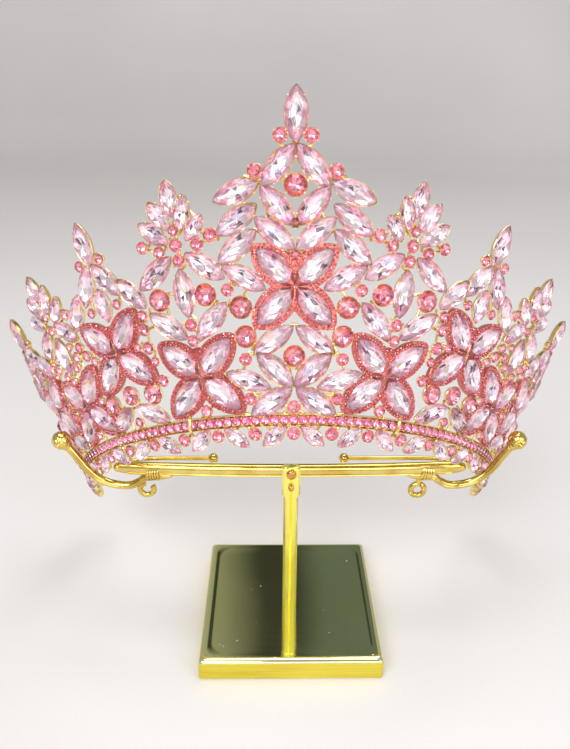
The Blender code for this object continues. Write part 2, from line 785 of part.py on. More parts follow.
def main():
    """Clear the start-up scene and build every piece."""
    for old in list(bpy.data.objects):
        bpy.data.objects.remove(old, do_unlink=True)
    plate()
    post()
    for name, level, diameter in SCREWS:
        screw(name, level, diameter)
    hooked_bar()
    make_tiara()


if __name__ == "__main__":
    main()
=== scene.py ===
"""Looks of a jewelled tiara that rests on the hooked bar of a small gilt stand.

Sizes are in millimetres and degrees, and each mesh is made in metres in the
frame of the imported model.  The tiara's front lies on a cone that opens upward
and leans back, so a stone is placed by its turn round the ring and its height
along the slope, and a depth is measured outward from the slope.
"""
from __future__ import annotations

import logging
import math
import random
from dataclasses import dataclass, field
from enum import Enum

import bmesh
import bpy
from mathutils import Matrix, Vector

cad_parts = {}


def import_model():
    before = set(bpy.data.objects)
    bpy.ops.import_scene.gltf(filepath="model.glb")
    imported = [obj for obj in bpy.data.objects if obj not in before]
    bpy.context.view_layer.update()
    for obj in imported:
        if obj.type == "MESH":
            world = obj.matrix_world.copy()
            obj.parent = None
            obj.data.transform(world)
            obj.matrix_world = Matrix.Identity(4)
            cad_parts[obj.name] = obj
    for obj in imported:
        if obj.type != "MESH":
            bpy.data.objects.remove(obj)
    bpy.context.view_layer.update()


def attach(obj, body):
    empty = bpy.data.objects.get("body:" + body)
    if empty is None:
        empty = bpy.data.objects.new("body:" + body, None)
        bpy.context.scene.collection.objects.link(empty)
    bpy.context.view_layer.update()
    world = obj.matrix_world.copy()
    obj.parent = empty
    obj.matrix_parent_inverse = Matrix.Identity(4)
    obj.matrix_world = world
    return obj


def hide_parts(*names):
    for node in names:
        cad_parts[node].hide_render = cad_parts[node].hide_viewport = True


LOG = logging.getLogger("tiara")
MM = 0.001
PLATE_TOP = 8.0
SHARP_FROM = 42.0

Colour = tuple[float, float, float]
Point = tuple[float, float]
BLACK: Colour = (0.0, 0.0, 0.0)
WHITE: Colour = (1.0, 1.0, 1.0)


class Cut(Enum):
    """Outline of a cut stone, seen from the front."""

    NAVETTE = "navette"
    ROUND = "round"

    def edge(self, share: float) -> Point:
        """Find an outline point for a half width and half length of one.

        Args:
            share: How far round the outline the point is, from 0 at the top to 1.

        Returns:
            The point across and along the stone.
        """
        angle = 2.0 * math.pi * share
        if self is Cut.ROUND:
            return math.sin(angle), math.cos(angle)
        return math.copysign(abs(math.sin(angle)) ** 1.6, math.sin(angle)), math.cos(angle)


class Hue(Enum):
    """Colour family of a stone."""

    PALE = "pale"
    ROSE = "rose"
    HOT = "hot"


@dataclass(frozen=True)
class Slope:
    """The cone on which the stones are set."""

    ring_radius: float = 79.4
    ring_tilt: float = 45.7
    ring_back: float = 39.2
    ring_rise: float = 34.2
    flare: float = 32.4

    @property
    def start(self) -> float:
        """Distance along the slope from the cone's tip to the ring."""
        return self.ring_radius / math.sin(math.radians(self.flare))

    @property
    def squeeze(self) -> float:
        """Share of a turn round the ring that is left when the cone is unrolled."""
        return math.sin(math.radians(self.flare))

    def frame(self, turn: float, height: float) -> tuple[Vector, Vector, Vector, Vector]:
        """Return a point of the slope and its three directions.

        Args:
            turn: Degrees round the ring, positive to the right in the picture.
            height: Distance up the slope from the middle of the band.

        Returns:
            The point, then the directions across, up and outward.
        """
        t = math.radians(turn)
        tilt = math.radians(self.ring_tilt)
        flare = math.radians(self.flare)
        axis = Vector((0.0, math.sin(tilt), math.cos(tilt)))
        front = Vector((0.0, -math.cos(tilt), math.sin(tilt)))
        side = Vector((1.0, 0.0, 0.0))
        out = side * math.sin(t) + front * math.cos(t)
        radius = self.ring_radius + height * math.sin(flare)
        middle = Vector((0.0, self.ring_back, self.ring_rise))
        point = middle + axis * (height * math.cos(flare)) + out * radius
        across = side * math.cos(t) - front * math.sin(t)
        up = axis * math.cos(flare) + out * math.sin(flare)
        return point, across, up, across.cross(up)

    def matrix(self, turn: float, height: float, lean: float = 0.0) -> Matrix:
        """Return the placing of a piece that is drawn flat in millimetres.

        Args:
            turn: Degrees round the ring.
            height: Distance up the slope.
            lean: Clockwise turn of the piece on the slope, in degrees.

        Returns:
            A matrix from the piece's millimetres to metres in the model's frame.
        """
        point, across, up, out = self.frame(turn, height)
        c = math.cos(math.radians(lean))
        s = math.sin(math.radians(lean))
        x_axis = across * c - up * s
        y_axis = across * s + up * c
        rows = [
            [x_axis[k] * MM, y_axis[k] * MM, out[k] * MM, point[k] * MM] for k in range(3)
        ]
        return Matrix((*rows, (0.0, 0.0, 0.0, 1.0)))

    def spot(self, turn: float, height: float, depth: float) -> Vector:
        """Return a point in metres, at a depth outward from the slope."""
        point, _, _, out = self.frame(turn, height)
        return (point + out * depth) * MM

    def flat(self, turn: float, height: float) -> Point:
        """Return where a point of the slope falls when the cone is unrolled."""
        reach = self.start + height
        angle = math.radians(turn) * self.squeeze
        return reach * math.sin(angle), reach * math.cos(angle) - self.start

    def place(self, x: float, y: float) -> Point:
        """Return turn and height of a point of the unrolled cone."""
        angle = math.atan2(x, y + self.start)
        return math.degrees(angle / self.squeeze), math.hypot(x, y + self.start) - self.start

    def step(self, turn: float, height: float, lean: float, reach: float) -> Point:
        """Move along the slope from a point in a leaning direction.

        Args:
            turn: Degrees round the ring at the start.
            height: Height up the slope at the start.
            lean: Direction of the move, clockwise from straight up, in degrees.
            reach: Length of the move.

        Returns:
            Turn and height where the move ends.
        """
        x, y = self.flat(turn, height)
        angle = math.radians(turn) * self.squeeze + math.radians(lean)
        return self.place(x + reach * math.sin(angle), y + reach * math.cos(angle))


SLOPE = Slope()


@dataclass(frozen=True)
class Stone:
    """One cut stone and where it is set."""

    name: str
    turn: float
    height: float
    lean: float
    length: float
    width: float
    group: str
    hue: Hue = Hue.PALE
    own: bool = False
    haloed: bool = False

    @property
    def cut(self) -> Cut:
        """A stone as wide as it is long is round."""
        return Cut.ROUND if self.length == self.width else Cut.NAVETTE

    def outline(self, grow: float = 0.0, count: int = 32) -> list[Point]:
        """Draw the outline on the slope, across and up from the stone's middle.

        Args:
            grow: How far the outline is moved outward.
            count: How many points it has.

        Returns:
            The points, clockwise from the stone's upper tip.
        """
        half = (self.width / 2.0, self.length / 2.0)
        drawn = []
        for k in range(count):
            x, y = self.cut.edge(k / count)
            before = self.cut.edge((k - 0.02) / count)
            after = self.cut.edge((k + 0.02) / count)
            along = Vector(((after[0] - before[0]) * half[0], (after[1] - before[1]) * half[1]))
            normal = Vector((-along.y, along.x)).normalized()
            drawn.append((x * half[0] + normal.x * grow, y * half[1] + normal.y * grow))
        c = math.cos(math.radians(self.lean))
        s = math.sin(math.radians(self.lean))
        return [(x * c + y * s, -x * s + y * c) for x, y in drawn]

    def unrolled(self, grow: float = 0.0, count: int = 32) -> list[Point]:
        """Draw the outline where it falls on the unrolled cone."""
        x0, y0 = SLOPE.flat(self.turn, self.height)
        angle = math.radians(self.turn) * SLOPE.squeeze
        c = math.cos(angle)
        s = math.sin(angle)
        return [(x0 + x * c + y * s, y0 - x * s + y * c) for x, y in self.outline(grow, count)]


def inside(x: float, y: float, edge: list) -> bool:
    """Tell whether a point lies within a convex outline."""
    sign = 0.0
    for k in range(len(edge)):
        ax, ay = edge[k - 1]
        bx, by = edge[k]
        turn = (bx - ax) * (y - ay) - (by - ay) * (x - ax)
        if turn * sign < 0.0:
            return False
        sign = turn if abs(turn) > 1e-9 else sign
    return True


@dataclass(frozen=True)
class StoneChart:
    """Tables of the stones on one side: name, turn, height, lean, length, width, own node."""

    centre: tuple = (
        ("spire_tip", 0.0, 87.3, 0.0, 15.8, 7.1, True),
        ("spire_drop", 2.05, 81.8, 0.0, 4.0, 4.0, False),
        ("spire_cap", 2.35, 73.8, -40.0, 13.6, 5.8, True),
        ("cap_side", 5.6, 72.5, 0.0, 4.1, 4.1, False),
        ("spire_heart", 0.0, 68.4, 0.0, 6.4, 6.4, False),
        ("leaf_upper", 8.35, 67.1, -72.0, 13.2, 5.8, True),
        ("vee_upper", 2.6, 62.7, 40.0, 13.2, 5.4, True),
        ("leaf_middle", 8.65, 59.4, -58.0, 13.6, 5.8, True),
        ("vee_lower", 3.1, 55.0, 50.0, 13.4, 5.4, True),
        ("vee_bead", 0.0, 57.9, 0.0, 2.6, 2.6, False),
        ("leaf_lower", 8.95, 51.8, -53.0, 13.8, 5.8, True),
        ("vee_drop", 0.0, 49.0, 0.0, 3.0, 3.0, False),
        ("wing", 8.25, 42.9, 58.0, 13.0, 5.2, False),
        ("outer_round", 15.1, 39.0, 0.0, 6.4, 6.4, False),
        ("wing_drop", 11.2, 39.7, 0.0, 3.6, 3.6, False),
        ("flank_upper", 9.2, 34.4, 0.0, 6.4, 6.4, False),
        ("flank_lower", 8.85, 25.7, 0.0, 6.3, 6.3, False),
        ("flank_drop", 9.2, 18.9, 0.0, 3.6, 3.6, False),
        ("ring_leaf", 3.85, 24.3, -56.0, 13.2, 5.2, False),
        ("ring_heart", 0.0, 19.5, 0.0, 6.1, 6.1, False),
        ("base_heart", 0.0, 4.0, 0.0, 3.8, 3.8, False),
        ("base_wing", 9.1, 12.5, 69.0, 13.0, 5.0, False),
        ("base_drop", 9.0, 6.8, 0.0, 3.6, 3.6, False),
    )
    second: tuple = (
        ("spray_tip", 18.35, 67.8, 3.0, 9.6, 4.4, False),
        ("spray_inner", 16.75, 63.3, -18.0, 9.0, 4.0, False),
        ("spray_outer", 20.5, 63.4, 30.0, 9.2, 4.4, False),
        ("spray_low_inner", 15.3, 58.6, -40.0, 7.6, 3.8, False),
        ("spray_low_outer", 22.0, 58.8, 48.0, 9.8, 4.4, False),
        ("spray_bud", 18.6, 58.6, 0.0, 3.0, 3.0, False),
        ("stem_upper", 18.6, 54.4, 0.0, 3.8, 3.8, False),
        ("stem_lower", 18.6, 49.9, 0.0, 3.6, 3.6, False),
        ("bead_inner_low", 15.2, 53.7, 0.0, 3.8, 3.8, False),
        ("bead_inner_high", 12.9, 55.9, 0.0, 4.0, 4.0, False),
        ("bead_outer_low", 21.6, 53.1, 0.0, 3.6, 3.6, False),
        ("bead_outer_high", 24.3, 55.6, 0.0, 3.6, 3.6, False),
        ("spread_outer", 23.1, 47.4, -58.0, 13.6, 5.4, False),
        ("stalk", 18.7, 40.3, 0.0, 13.6, 5.6, False),
        ("spread_inner", 14.5, 47.3, 52.0, 12.6, 5.2, False),
        ("side_round", 23.5, 39.5, 0.0, 6.4, 6.4, False),
        ("lap_outer", 23.0, 31.4, 50.0, 13.8, 5.4, False),
        ("lap_inner", 14.6, 31.2, -47.0, 13.2, 5.2, False),
        ("lap_drop", 18.6, 30.7, 0.0, 3.6, 3.6, False),
        ("crest_drop", 18.7, 25.9, 0.0, 3.4, 3.4, False),
        ("foot_drop", 18.7, 4.1, 0.0, 3.6, 3.6, False),
    )
    third: tuple = (
        ("side_tip", 35.1, 61.8, 0.0, 13.0, 6.2, False),
        ("leg_inner", 32.9, 49.8, 34.0, 12.8, 5.4, False),
        ("leg_outer", 37.6, 49.8, -32.0, 12.8, 5.4, False),
        ("side_leaf_inner", 28.7, 43.4, 37.0, 12.0, 5.2, False),
        ("side_leaf_outer", 42.4, 43.4, -37.0, 12.0, 5.2, False),
        ("side_heart", 35.3, 42.6, 0.0, 9.6, 5.0, False),
        ("base_round_inner", 30.4, 11.9, 0.0, 6.3, 6.3, False),
        ("base_round_middle", 36.4, 13.1, 0.0, 6.0, 6.0, False),
        ("base_round_outer", 42.6, 11.9, 0.0, 6.2, 6.2, False),
        ("base_leaf_inner", 31.9, 5.9, 60.0, 12.0, 4.6, False),
        ("base_leaf_outer", 41.1, 5.9, -60.0, 12.0, 4.6, False),
    )
    fourth: tuple = (
        ("far_tip", 51.8, 57.6, 2.0, 10.0, 4.8, False),
        ("far_inner", 49.8, 53.0, -26.0, 9.0, 4.4, False),
        ("far_outer", 53.8, 53.0, 30.0, 9.0, 4.4, False),
        ("far_low_inner", 47.9, 48.2, -46.0, 8.8, 4.2, False),
        ("far_low_outer", 55.6, 48.2, 48.0, 8.8, 4.2, False),
        ("far_spread_inner", 47.6, 40.0, 46.0, 11.0, 4.8, False),
        ("far_spread_outer", 56.0, 40.0, -46.0, 11.0, 4.8, False),
        ("far_stalk", 51.8, 33.4, 0.0, 12.8, 5.2, False),
    )
    fifth: tuple = (
        ("end_tip", 68.9, 53.8, 0.0, 13.0, 5.6, False),
        ("end_leg_inner", 66.3, 41.8, 34.0, 12.4, 5.2, False),
        ("end_leg_outer", 71.5, 41.8, -34.0, 12.4, 5.2, False),
        ("end_leaf_inner", 61.8, 35.6, 38.0, 11.6, 5.0, False),
        ("end_leaf_outer", 76.0, 35.6, -38.0, 11.6, 5.0, False),
        ("end_heart", 68.9, 35.0, 0.0, 9.0, 4.8, False),
        ("end_round_inner", 60.8, 18.6, 0.0, 4.8, 4.8, False),
        ("end_round_outer", 77.0, 18.6, 0.0, 4.8, 4.8, False),
        ("end_base_inner", 63.4, 5.6, 62.0, 11.4, 4.4, False),
        ("end_base_outer", 74.4, 5.6, -62.0, 11.4, 4.4, False),
        ("taper_leaf", 83.2, 8.8, -48.0, 12.8, 5.2, False),
        ("taper_round", 89.4, 5.9, 0.0, 4.8, 4.8, False),
        ("taper_tip", 94.2, 4.1, -78.0, 6.4, 3.2, False),
    )
    # four-petalled flowers: name, turn, height, lean of the lower petals, haloed, own
    flowers: tuple = (
        ("great_flower", 0.0, 39.8, 135.0, True, True),
        ("base_flower", 0.0, 9.9, 123.0, False, True),
        ("second_flower", 18.7, 14.6, 135.0, True, True),
        ("third_flower", 36.4, 27.0, 135.0, True, True),
        ("fourth_flower", 52.0, 14.4, 135.0, True, False),
        ("fifth_flower", 68.9, 20.2, 135.0, True, False),
    )
    # small rounds between the larger stones: turn, height, width
    beads: tuple = (
        (32.8, 56.2, 3.6), (37.5, 56.4, 3.6), (32.2, 41.6, 3.4), (38.6, 41.6, 3.4),
        (28.2, 32.0, 4.1), (28.3, 26.2, 4.1), (36.5, 4.1, 3.4), (51.8, 48.0, 3.4),
        (51.8, 43.0, 3.4), (47.6, 31.0, 3.8), (56.0, 31.0, 3.8), (52.0, 4.3, 3.4),
        (66.5, 48.0, 3.4), (71.3, 48.0, 3.4), (68.9, 4.6, 3.4),
    )
    petal_length: float = 15.1
    petal_width: float = 7.25
    petal_reach: float = 7.85
    petal_lean: float = 45.0
    hanging_pitch: float = 8.6
    hanging_leaves: int = 11
    hanging_leaf: tuple = (-5.0, 50.0, 9.5, 4.9)
    hanging_bead: tuple = (-4.2, 4.2)
    # how much a stone is larger than its solid: long stones, large rounds, small rounds
    long_growth: Point = (1.6, 1.3)
    long_most: Point = (15.0, 6.9)
    round_growth: float = 0.5
    small_growth: float = 0.3

    @staticmethod
    def sides(turn: float) -> tuple:
        """A stone on the middle line stands once, any other on both sides."""
        if turn == 0.0:
            return ((1.0, ""),)
        return ((1.0, "_right"), (-1.0, "_left"))

    def stones(self) -> list[Stone]:
        """Expand the tables into one entry for each stone.

        Returns:
            Every stone of the tiara but those of the strip and the halos.
        """
        columns = (
            ("centre", self.centre), ("second", self.second), ("third", self.third),
            ("fourth", self.fourth), ("fifth", self.fifth),
        )
        stones = []
        for group, column in columns:
            for name, turn, height, lean, length, width, own in column:
                hue = Hue.ROSE if length == width else Hue.PALE
                full_length, full_width = self.full_size(length, width)
                for sign, suffix in self.sides(turn):
                    stones.append(Stone(
                        name + suffix, sign * turn, height, sign * lean, full_length, full_width,
                        group, hue, own,
                    ))
        return stones + self.petals() + self.small_rounds() + self.hanging_row()

    def full_size(self, length: float, width: float) -> Point:
        """Return the full length and width of a stone from those of its solid."""
        if length == width:
            grown = width + (self.round_growth if width > 4.5 else self.small_growth)
            return grown, grown
        if length > self.long_most[0]:
            return length, width
        longer = min(self.long_most[0], length + self.long_growth[0])
        return longer, min(self.long_most[1], width + self.long_growth[1])

    def petals(self) -> list[Stone]:
        """Set four petals round each flower's middle."""
        petals = []
        for name, turn, height, low, haloed, own in self.flowers:
            leans = (
                ("outer_up", self.petal_lean), ("outer_down", low),
                ("inner_down", -low), ("inner_up", -self.petal_lean),
            )
            for sign, suffix in self.sides(turn):
                for part, lean in leans:
                    spot = SLOPE.step(turn, height, lean, self.petal_reach)
                    petals.append(Stone(
                        f"{name}_{part}{suffix}", sign * spot[0], spot[1], sign * lean,
                        self.petal_length, self.petal_width, "flowers", Hue.PALE, own, haloed,
                    ))
        return petals

    def small_rounds(self) -> list[Stone]:
        """Set the small rounds between the larger stones on both sides."""
        rounds = []
        for index, (turn, height, width) in enumerate(self.beads):
            for sign, suffix in self.sides(turn):
                rounds.append(Stone(
                    f"bead_{index}{suffix}", sign * turn, height, 0.0, width, width,
                    "beads", Hue.ROSE,
                ))
        return rounds

    def hanging_row(self) -> list[Stone]:
        """Set leaves and beads in turn along the band's lower edge."""
        row = []
        height, lean, length, width = self.hanging_leaf
        for index in range(self.hanging_leaves):
            for sign in (1.0, -1.0):
                swing = lean if index % 2 else -lean
                row.append(Stone(
                    f"hanging_leaf_{index}", sign * (index + 0.5) * self.hanging_pitch, height,
                    sign * swing, length, width, "hanging", Hue.PALE,
                ))
        height, width = self.hanging_bead
        for index in range(1 - self.hanging_leaves, self.hanging_leaves):
            row.append(Stone(
                f"hanging_bead_{index}", index * self.hanging_pitch, height, 0.0, width, width,
                "hanging", Hue.ROSE,
            ))
        return row


@dataclass(frozen=True)
class GapRounds:
    """Small rounds that fill the gaps between the stones of the side columns."""

    first_turn: float = 27.0
    last_turn: float = 80.0
    heights: Point = (5.5, 50.0)
    turn_step: float = 0.6
    step: float = 0.9
    radii: Point = (1.35, 1.95)
    spare: float = 0.3
    # how far the search looks past the first turn, and how wide the halos are
    margin: float = 8.0
    halo: float = 1.6
    # a stone counts as near within this distance, and this many have to be near
    near: float = 4.2
    least_near: int = 3

    def room(self, x: float, y: float, outlines: list) -> tuple[float, int]:
        """Measure the room round a point of the unrolled cone.

        Args:
            x: The point's place across.
            y: The point's place along.
            outlines: Middle, corners and half length of each stone.

        Returns:
            Distance to the nearest stone, negative inside one, and how many are near.
        """
        nearest = 99.0
        close = 0
        for middle_x, middle_y, corners, reach in outlines:
            if math.hypot(x - middle_x, y - middle_y) > reach + self.near + 0.8:
                continue
            gap = min(math.hypot(x - px, y - py) for px, py in corners)
            if inside(x, y, corners):
                return -gap, 0
            nearest = min(nearest, gap)
            close += gap < self.near
        return nearest, close

    def fill(self, stones: list[Stone]) -> list[Stone]:
        """Put rounds into the widest gaps first, on both sides.

        Args:
            stones: The stones that are already set.

        Returns:
            The rounds that were added.
        """
        outlines = []
        for stone in stones:
            if stone.turn > self.first_turn - self.margin:
                x, y = SLOPE.flat(stone.turn, stone.height)
                grow = self.halo if stone.haloed else 0.0
                outlines.append((x, y, stone.unrolled(grow, 24), stone.length / 2.0 + grow))
        found = []
        for i in range(int((self.last_turn - self.first_turn) / self.turn_step)):
            turn = self.first_turn + self.turn_step * i
            for j in range(int((self.heights[1] - self.heights[0]) / self.step)):
                x, y = SLOPE.flat(turn, self.heights[0] + self.step * j)
                gap, close = self.room(x, y, outlines)
                if gap > self.radii[0] + self.spare and close >= self.least_near:
                    found.append((gap, x, y))
        rounds = []
        taken = []
        for gap, x, y in sorted(found, reverse=True):
            radius = min(self.radii[1], gap - self.spare)
            if all(math.hypot(x - a, y - b) > radius + c + self.spare for a, b, c in taken):
                taken.append((x, y, radius))
                turn, height = SLOPE.place(x, y)
                for sign in (1.0, -1.0):
                    rounds.append(Stone(
                        f"gap_{len(rounds)}", sign * turn, height, 0.0, 2.0 * radius, 2.0 * radius,
                        "beads", Hue.ROSE,
                    ))
        return rounds


class Signal:
    """A shader socket that can be used in sums and products."""

    def __init__(self, sheet: NodeSheet, socket: bpy.types.NodeSocket) -> None:
        """Wrap one output socket of a sheet."""
        self.sheet = sheet
        self.socket = socket

    def _math(self, operation: str, first: object, second: object) -> Signal:
        """Add one Math node for two values."""
        node = self.sheet.add("ShaderNodeMath", {"operation": operation}, {0: first, 1: second})
        return Signal(self.sheet, node.outputs[0])

    def __add__(self, other: object) -> Signal:
        """Add a value."""
        return self._math("ADD", self, other)

    def __mul__(self, other: object) -> Signal:
        """Multiply by a value."""
        return self._math("MULTIPLY", self, other)


class NodeSheet:
    """The node tree of one material, with one shader at its end."""

    def __init__(self, name: str) -> None:
        """Make the material and its shader."""
        self.material = bpy.data.materials.new(name)
        self.material.use_nodes = True
        self.tree = self.material.node_tree
        self.tree.nodes.clear()
        self.shader = self.tree.nodes.new("ShaderNodeBsdfPrincipled")
        ending = self.tree.nodes.new("ShaderNodeOutputMaterial")
        self.tree.links.new(self.shader.outputs[0], ending.inputs["Surface"])

    def add(self, kind: str, settings: dict | None = None, inputs: dict | None = None) -> bpy.types.Node:
        """Add a node.

        Args:
            kind: The node's type.
            settings: Its own settings; "stops" holds a ramp's positions and colours.
            inputs: A number, colour or signal for each socket.

        Returns:
            The new node.
        """
        node = self.tree.nodes.new(kind)
        for name, value in (settings or {}).items():
            if name == "stops":
                self._set_stops(node, value)
            else:
                setattr(node, name, value)
        self.feed(node, inputs or {})
        return node

    def feed(self, node: bpy.types.Node, inputs: dict) -> None:
        """Set or link a node's sockets."""
        for name, value in inputs.items():
            if isinstance(value, Signal):
                self.tree.links.new(value.socket, node.inputs[name])
            else:
                node.inputs[name].default_value = value

    @staticmethod
    def _set_stops(node: bpy.types.Node, stops: tuple) -> None:
        """Give a colour ramp its stops."""
        ramp = node.color_ramp
        while len(ramp.elements) < len(stops):
            ramp.elements.new(0.5)
        for element, (position, colour) in zip(ramp.elements, stops):
            element.position = position
            element.color = (*colour, 1.0)

    def out(self, node: bpy.types.Node, name: str | int = 0) -> Signal:
        """Wrap one of a node's outputs."""
        return Signal(self, node.outputs[name])

    def coordinates(self, scale: tuple = (1.0, 1.0, 1.0), turn: tuple = (0.0, 0.0, 0.0)) -> Signal:
        """Return the piece's own coordinates, scaled and turned."""
        source = self.add("ShaderNodeTexCoord")
        moved = self.add(
            "ShaderNodeMapping", None,
            {"Vector": self.out(source, "Object"), "Rotation": turn, "Scale": scale},
        )
        return self.out(moved)

    def noise(self, scale: float, detail: float = 2.0, where: Signal | None = None) -> Signal:
        """Return a cloudy value from 0 to 1."""
        node = self.add(
            "ShaderNodeTexNoise", None,
            {"Vector": where or self.coordinates(), "Scale": scale, "Detail": detail},
        )
        return self.out(node, "Fac")

    def ramp(self, value: Signal, stops: tuple) -> Signal:
        """Turn a value into a colour through a ramp."""
        return self.out(self.add("ShaderNodeValToRGB", {"stops": stops}, {"Fac": value}), "Color")

    def blend(self, share: Signal | float, first: object, second: object, kind: str = "MIX") -> Signal:
        """Mix two colours.

        Args:
            share: How much of the second colour is used.
            first: The first colour or signal.
            second: The second colour or signal.
            kind: How they are mixed, by Blender's own name.

        Returns:
            The mixed colour.
        """
        node = self.add("ShaderNodeMix", {"data_type": "RGBA", "blend_type": kind})
        self.feed(node, {0: share, 6: first, 7: second})
        return self.out(node, 2)

    def bump(self, height: Signal, strength: float, distance: float) -> Signal:
        """Return a normal that is roughened by a height."""
        node = self.add(
            "ShaderNodeBump", None,
            {"Height": height, "Strength": strength, "Distance": distance},
        )
        return self.out(node)


@dataclass(frozen=True)
class Finish:
    """A finish whose material is made once and then shared."""

    name: str

    def material(self) -> bpy.types.Material:
        """Make the material, or return it if it was made before."""
        made = bpy.data.materials.get(self.name)
        if made is None:
            sheet = NodeSheet(self.name)
            self.paint(sheet)
            made = sheet.material
        return made

    def paint(self, sheet: NodeSheet) -> None:
        """Lay the finish's own nodes on a sheet."""
        raise NotImplementedError(self.name)


@dataclass(frozen=True)
class Gilt(Finish):
    """Gold plating with faint cloudiness and hairlines."""

    bright: Colour
    deep: Colour
    roughness: float = 0.14
    cloud: float = 0.08
    scale: float = 260.0
    hairline: float = 0.12
    metal: float = 1.0

    def paint(self, sheet: NodeSheet) -> None:
        """Colour the clouds and scratch the hairlines."""
        clouds = sheet.noise(self.scale, 3.0)
        lines = sheet.noise(900.0, 2.0, sheet.coordinates((0.15, 1.0, 0.4), (0.3, 0.5, 0.9)))
        colour = sheet.ramp(clouds, ((0.32, self.deep), (0.62, self.bright)))
        rough = clouds * self.cloud + lines * (self.cloud * 0.6) + self.roughness
        sheet.feed(sheet.shader, {
            "Base Color": colour, "Metallic": self.metal, "Roughness": rough,
            "Normal": sheet.bump(lines + clouds * 0.6, self.hairline, 0.00004),
        })


@dataclass(frozen=True)
class BrushedGilt(Finish):
    """Gold plating that was brushed along one direction and then lacquered."""

    name: str = "brushed_gilt"
    bright: Colour = (0.84, 0.72, 0.10)
    deep: Colour = (0.68, 0.55, 0.05)
    roughness: float = 0.3

    def paint(self, sheet: NodeSheet) -> None:
        """Draw the brushed grain."""
        grain = sheet.noise(1400.0, 3.0, sheet.coordinates((0.03, 0.03, 1.0)))
        broad = sheet.noise(60.0, 2.0, sheet.coordinates((0.4, 0.4, 1.0)))
        tone = grain * 0.55 + broad * 0.45
        colour = sheet.ramp(tone, ((0.36, self.deep), (0.6, self.bright)))
        sheet.feed(sheet.shader, {
            "Base Color": colour, "Metallic": 1.0,
            "Roughness": grain * 0.16 + broad * 0.1 + self.roughness,
            "Normal": sheet.bump(grain, 0.25, 0.00005),
        })


@dataclass(frozen=True)
class MirrorGilt(Finish):
    """Polished top of the plate, with smears, hairline wipes and specks of dust."""

    name: str = "mirror_gilt"
    bright: Colour = (0.86, 0.86, 0.48)
    deep: Colour = (0.74, 0.76, 0.38)
    speck: Colour = (0.95, 0.92, 0.74)

    def paint(self, sheet: NodeSheet) -> None:
        """Draw the smears, the wipes and the dust."""
        smear = sheet.noise(38.0, 4.0, sheet.coordinates((1.0, 0.45, 1.0), (0.0, 0.0, 0.4)))
        wipe = sheet.noise(700.0, 2.0, sheet.coordinates((0.06, 1.0, 1.0), (0.0, 0.0, 0.25)))
        dust = sheet.add("ShaderNodeTexVoronoi", None, {
            "Vector": sheet.coordinates(), "Scale": 260.0, "Randomness": 1.0,
        })
        dot = sheet.ramp(sheet.out(dust, "Distance"), ((0.05, WHITE), (0.11, BLACK)))
        rare = sheet.ramp(sheet.noise(150.0, 1.0), ((0.55, BLACK), (0.63, WHITE)))
        mask = sheet.blend(1.0, dot, rare, "MULTIPLY")
        base = sheet.ramp(smear, ((0.3, self.deep), (0.68, self.bright)))
        colour = sheet.blend(mask, base, (*self.speck, 1.0))
        rough = smear * 0.07 + wipe * 0.05 + mask * 0.4 + 0.015
        sheet.feed(sheet.shader, {
            "Base Color": colour, "Metallic": 1.0, "Roughness": rough,
            "Normal": sheet.bump(wipe * 0.5 + smear, 0.04, 0.0001),
        })


@dataclass(frozen=True)
class Crystal(Finish):
    """Clear tinted glass of a stone's crown."""

    tint: Colour
    edge: Colour
    index: float = 1.56

    def paint(self, sheet: NodeSheet) -> None:
        """Tint the glass facet by facet, with a share of the facet tints and their painted highlights
        and dark reflections.
        """
        facet = sheet.add("ShaderNodeAttribute", {"attribute_name": "facet"})
        drift = sheet.noise(180.0, 2.0)
        tinted = sheet.ramp(drift, ((0.3, self.edge), (0.7, self.tint)))
        # a share of the facet tint, painted highlights and dark reflections included, is multiplied into
        # the glass
        colour = sheet.blend(0.35, tinted, sheet.out(facet, "Color"), "MULTIPLY")
        sheet.feed(sheet.shader, {
            "Base Color": colour, "Roughness": drift * 0.03,
            "IOR": self.index, "Transmission Weight": 1.0,
        })


@dataclass(frozen=True)
class Foil(Finish):
    """Mirror foil behind a stone, with a little painted glow: an emission that stands in for the light
    that the cut gathers.
    """

    wash: Colour
    roughness: float = 0.1
    # painted glow: strength of the foil's own emission, though the foil is no lamp
    painted_glow: float = 0.02

    def paint(self, sheet: NodeSheet) -> None:
        """Tint the foil with the facet tints and their painted highlights and dark reflections, ripple
        it a little and give it its painted glow.
        """
        facet = sheet.add("ShaderNodeAttribute", {"attribute_name": "facet"})
        ripple = sheet.noise(900.0, 2.0)
        washed = sheet.blend(ripple * 0.3, sheet.out(facet, "Color"), (*self.wash, 1.0))
        sheet.feed(sheet.shader, {
            "Base Color": washed, "Metallic": 0.85,
            "Roughness": ripple * 0.1 + self.roughness,
            "Normal": sheet.bump(ripple, 0.15, 0.00008),
            # painted glow: the foil emits light in its facet colours
            "Emission Color": washed, "Emission Strength": self.painted_glow,
        })


@dataclass(frozen=True)
class Chip(Finish):
    """Opaque look of a tiny cut stone, glossy and tinted facet by facet, with painted highlights and
    painted dark reflections among its tints.
    """

    wash: Colour

    def paint(self, sheet: NodeSheet) -> None:
        """Tint the stone facet by facet, painted highlights and painted dark reflections included."""
        facet = sheet.add("ShaderNodeAttribute", {"attribute_name": "facet"})
        ripple = sheet.noise(1500.0, 2.0)
        washed = sheet.blend(ripple * 0.35, sheet.out(facet, "Color"), (*self.wash, 1.0))
        sheet.feed(sheet.shader, {
            "Base Color": washed, "Metallic": 0.45, "Roughness": ripple * 0.16 + 0.08,
            "Coat Weight": 0.7, "Coat Roughness": 0.05,
        })


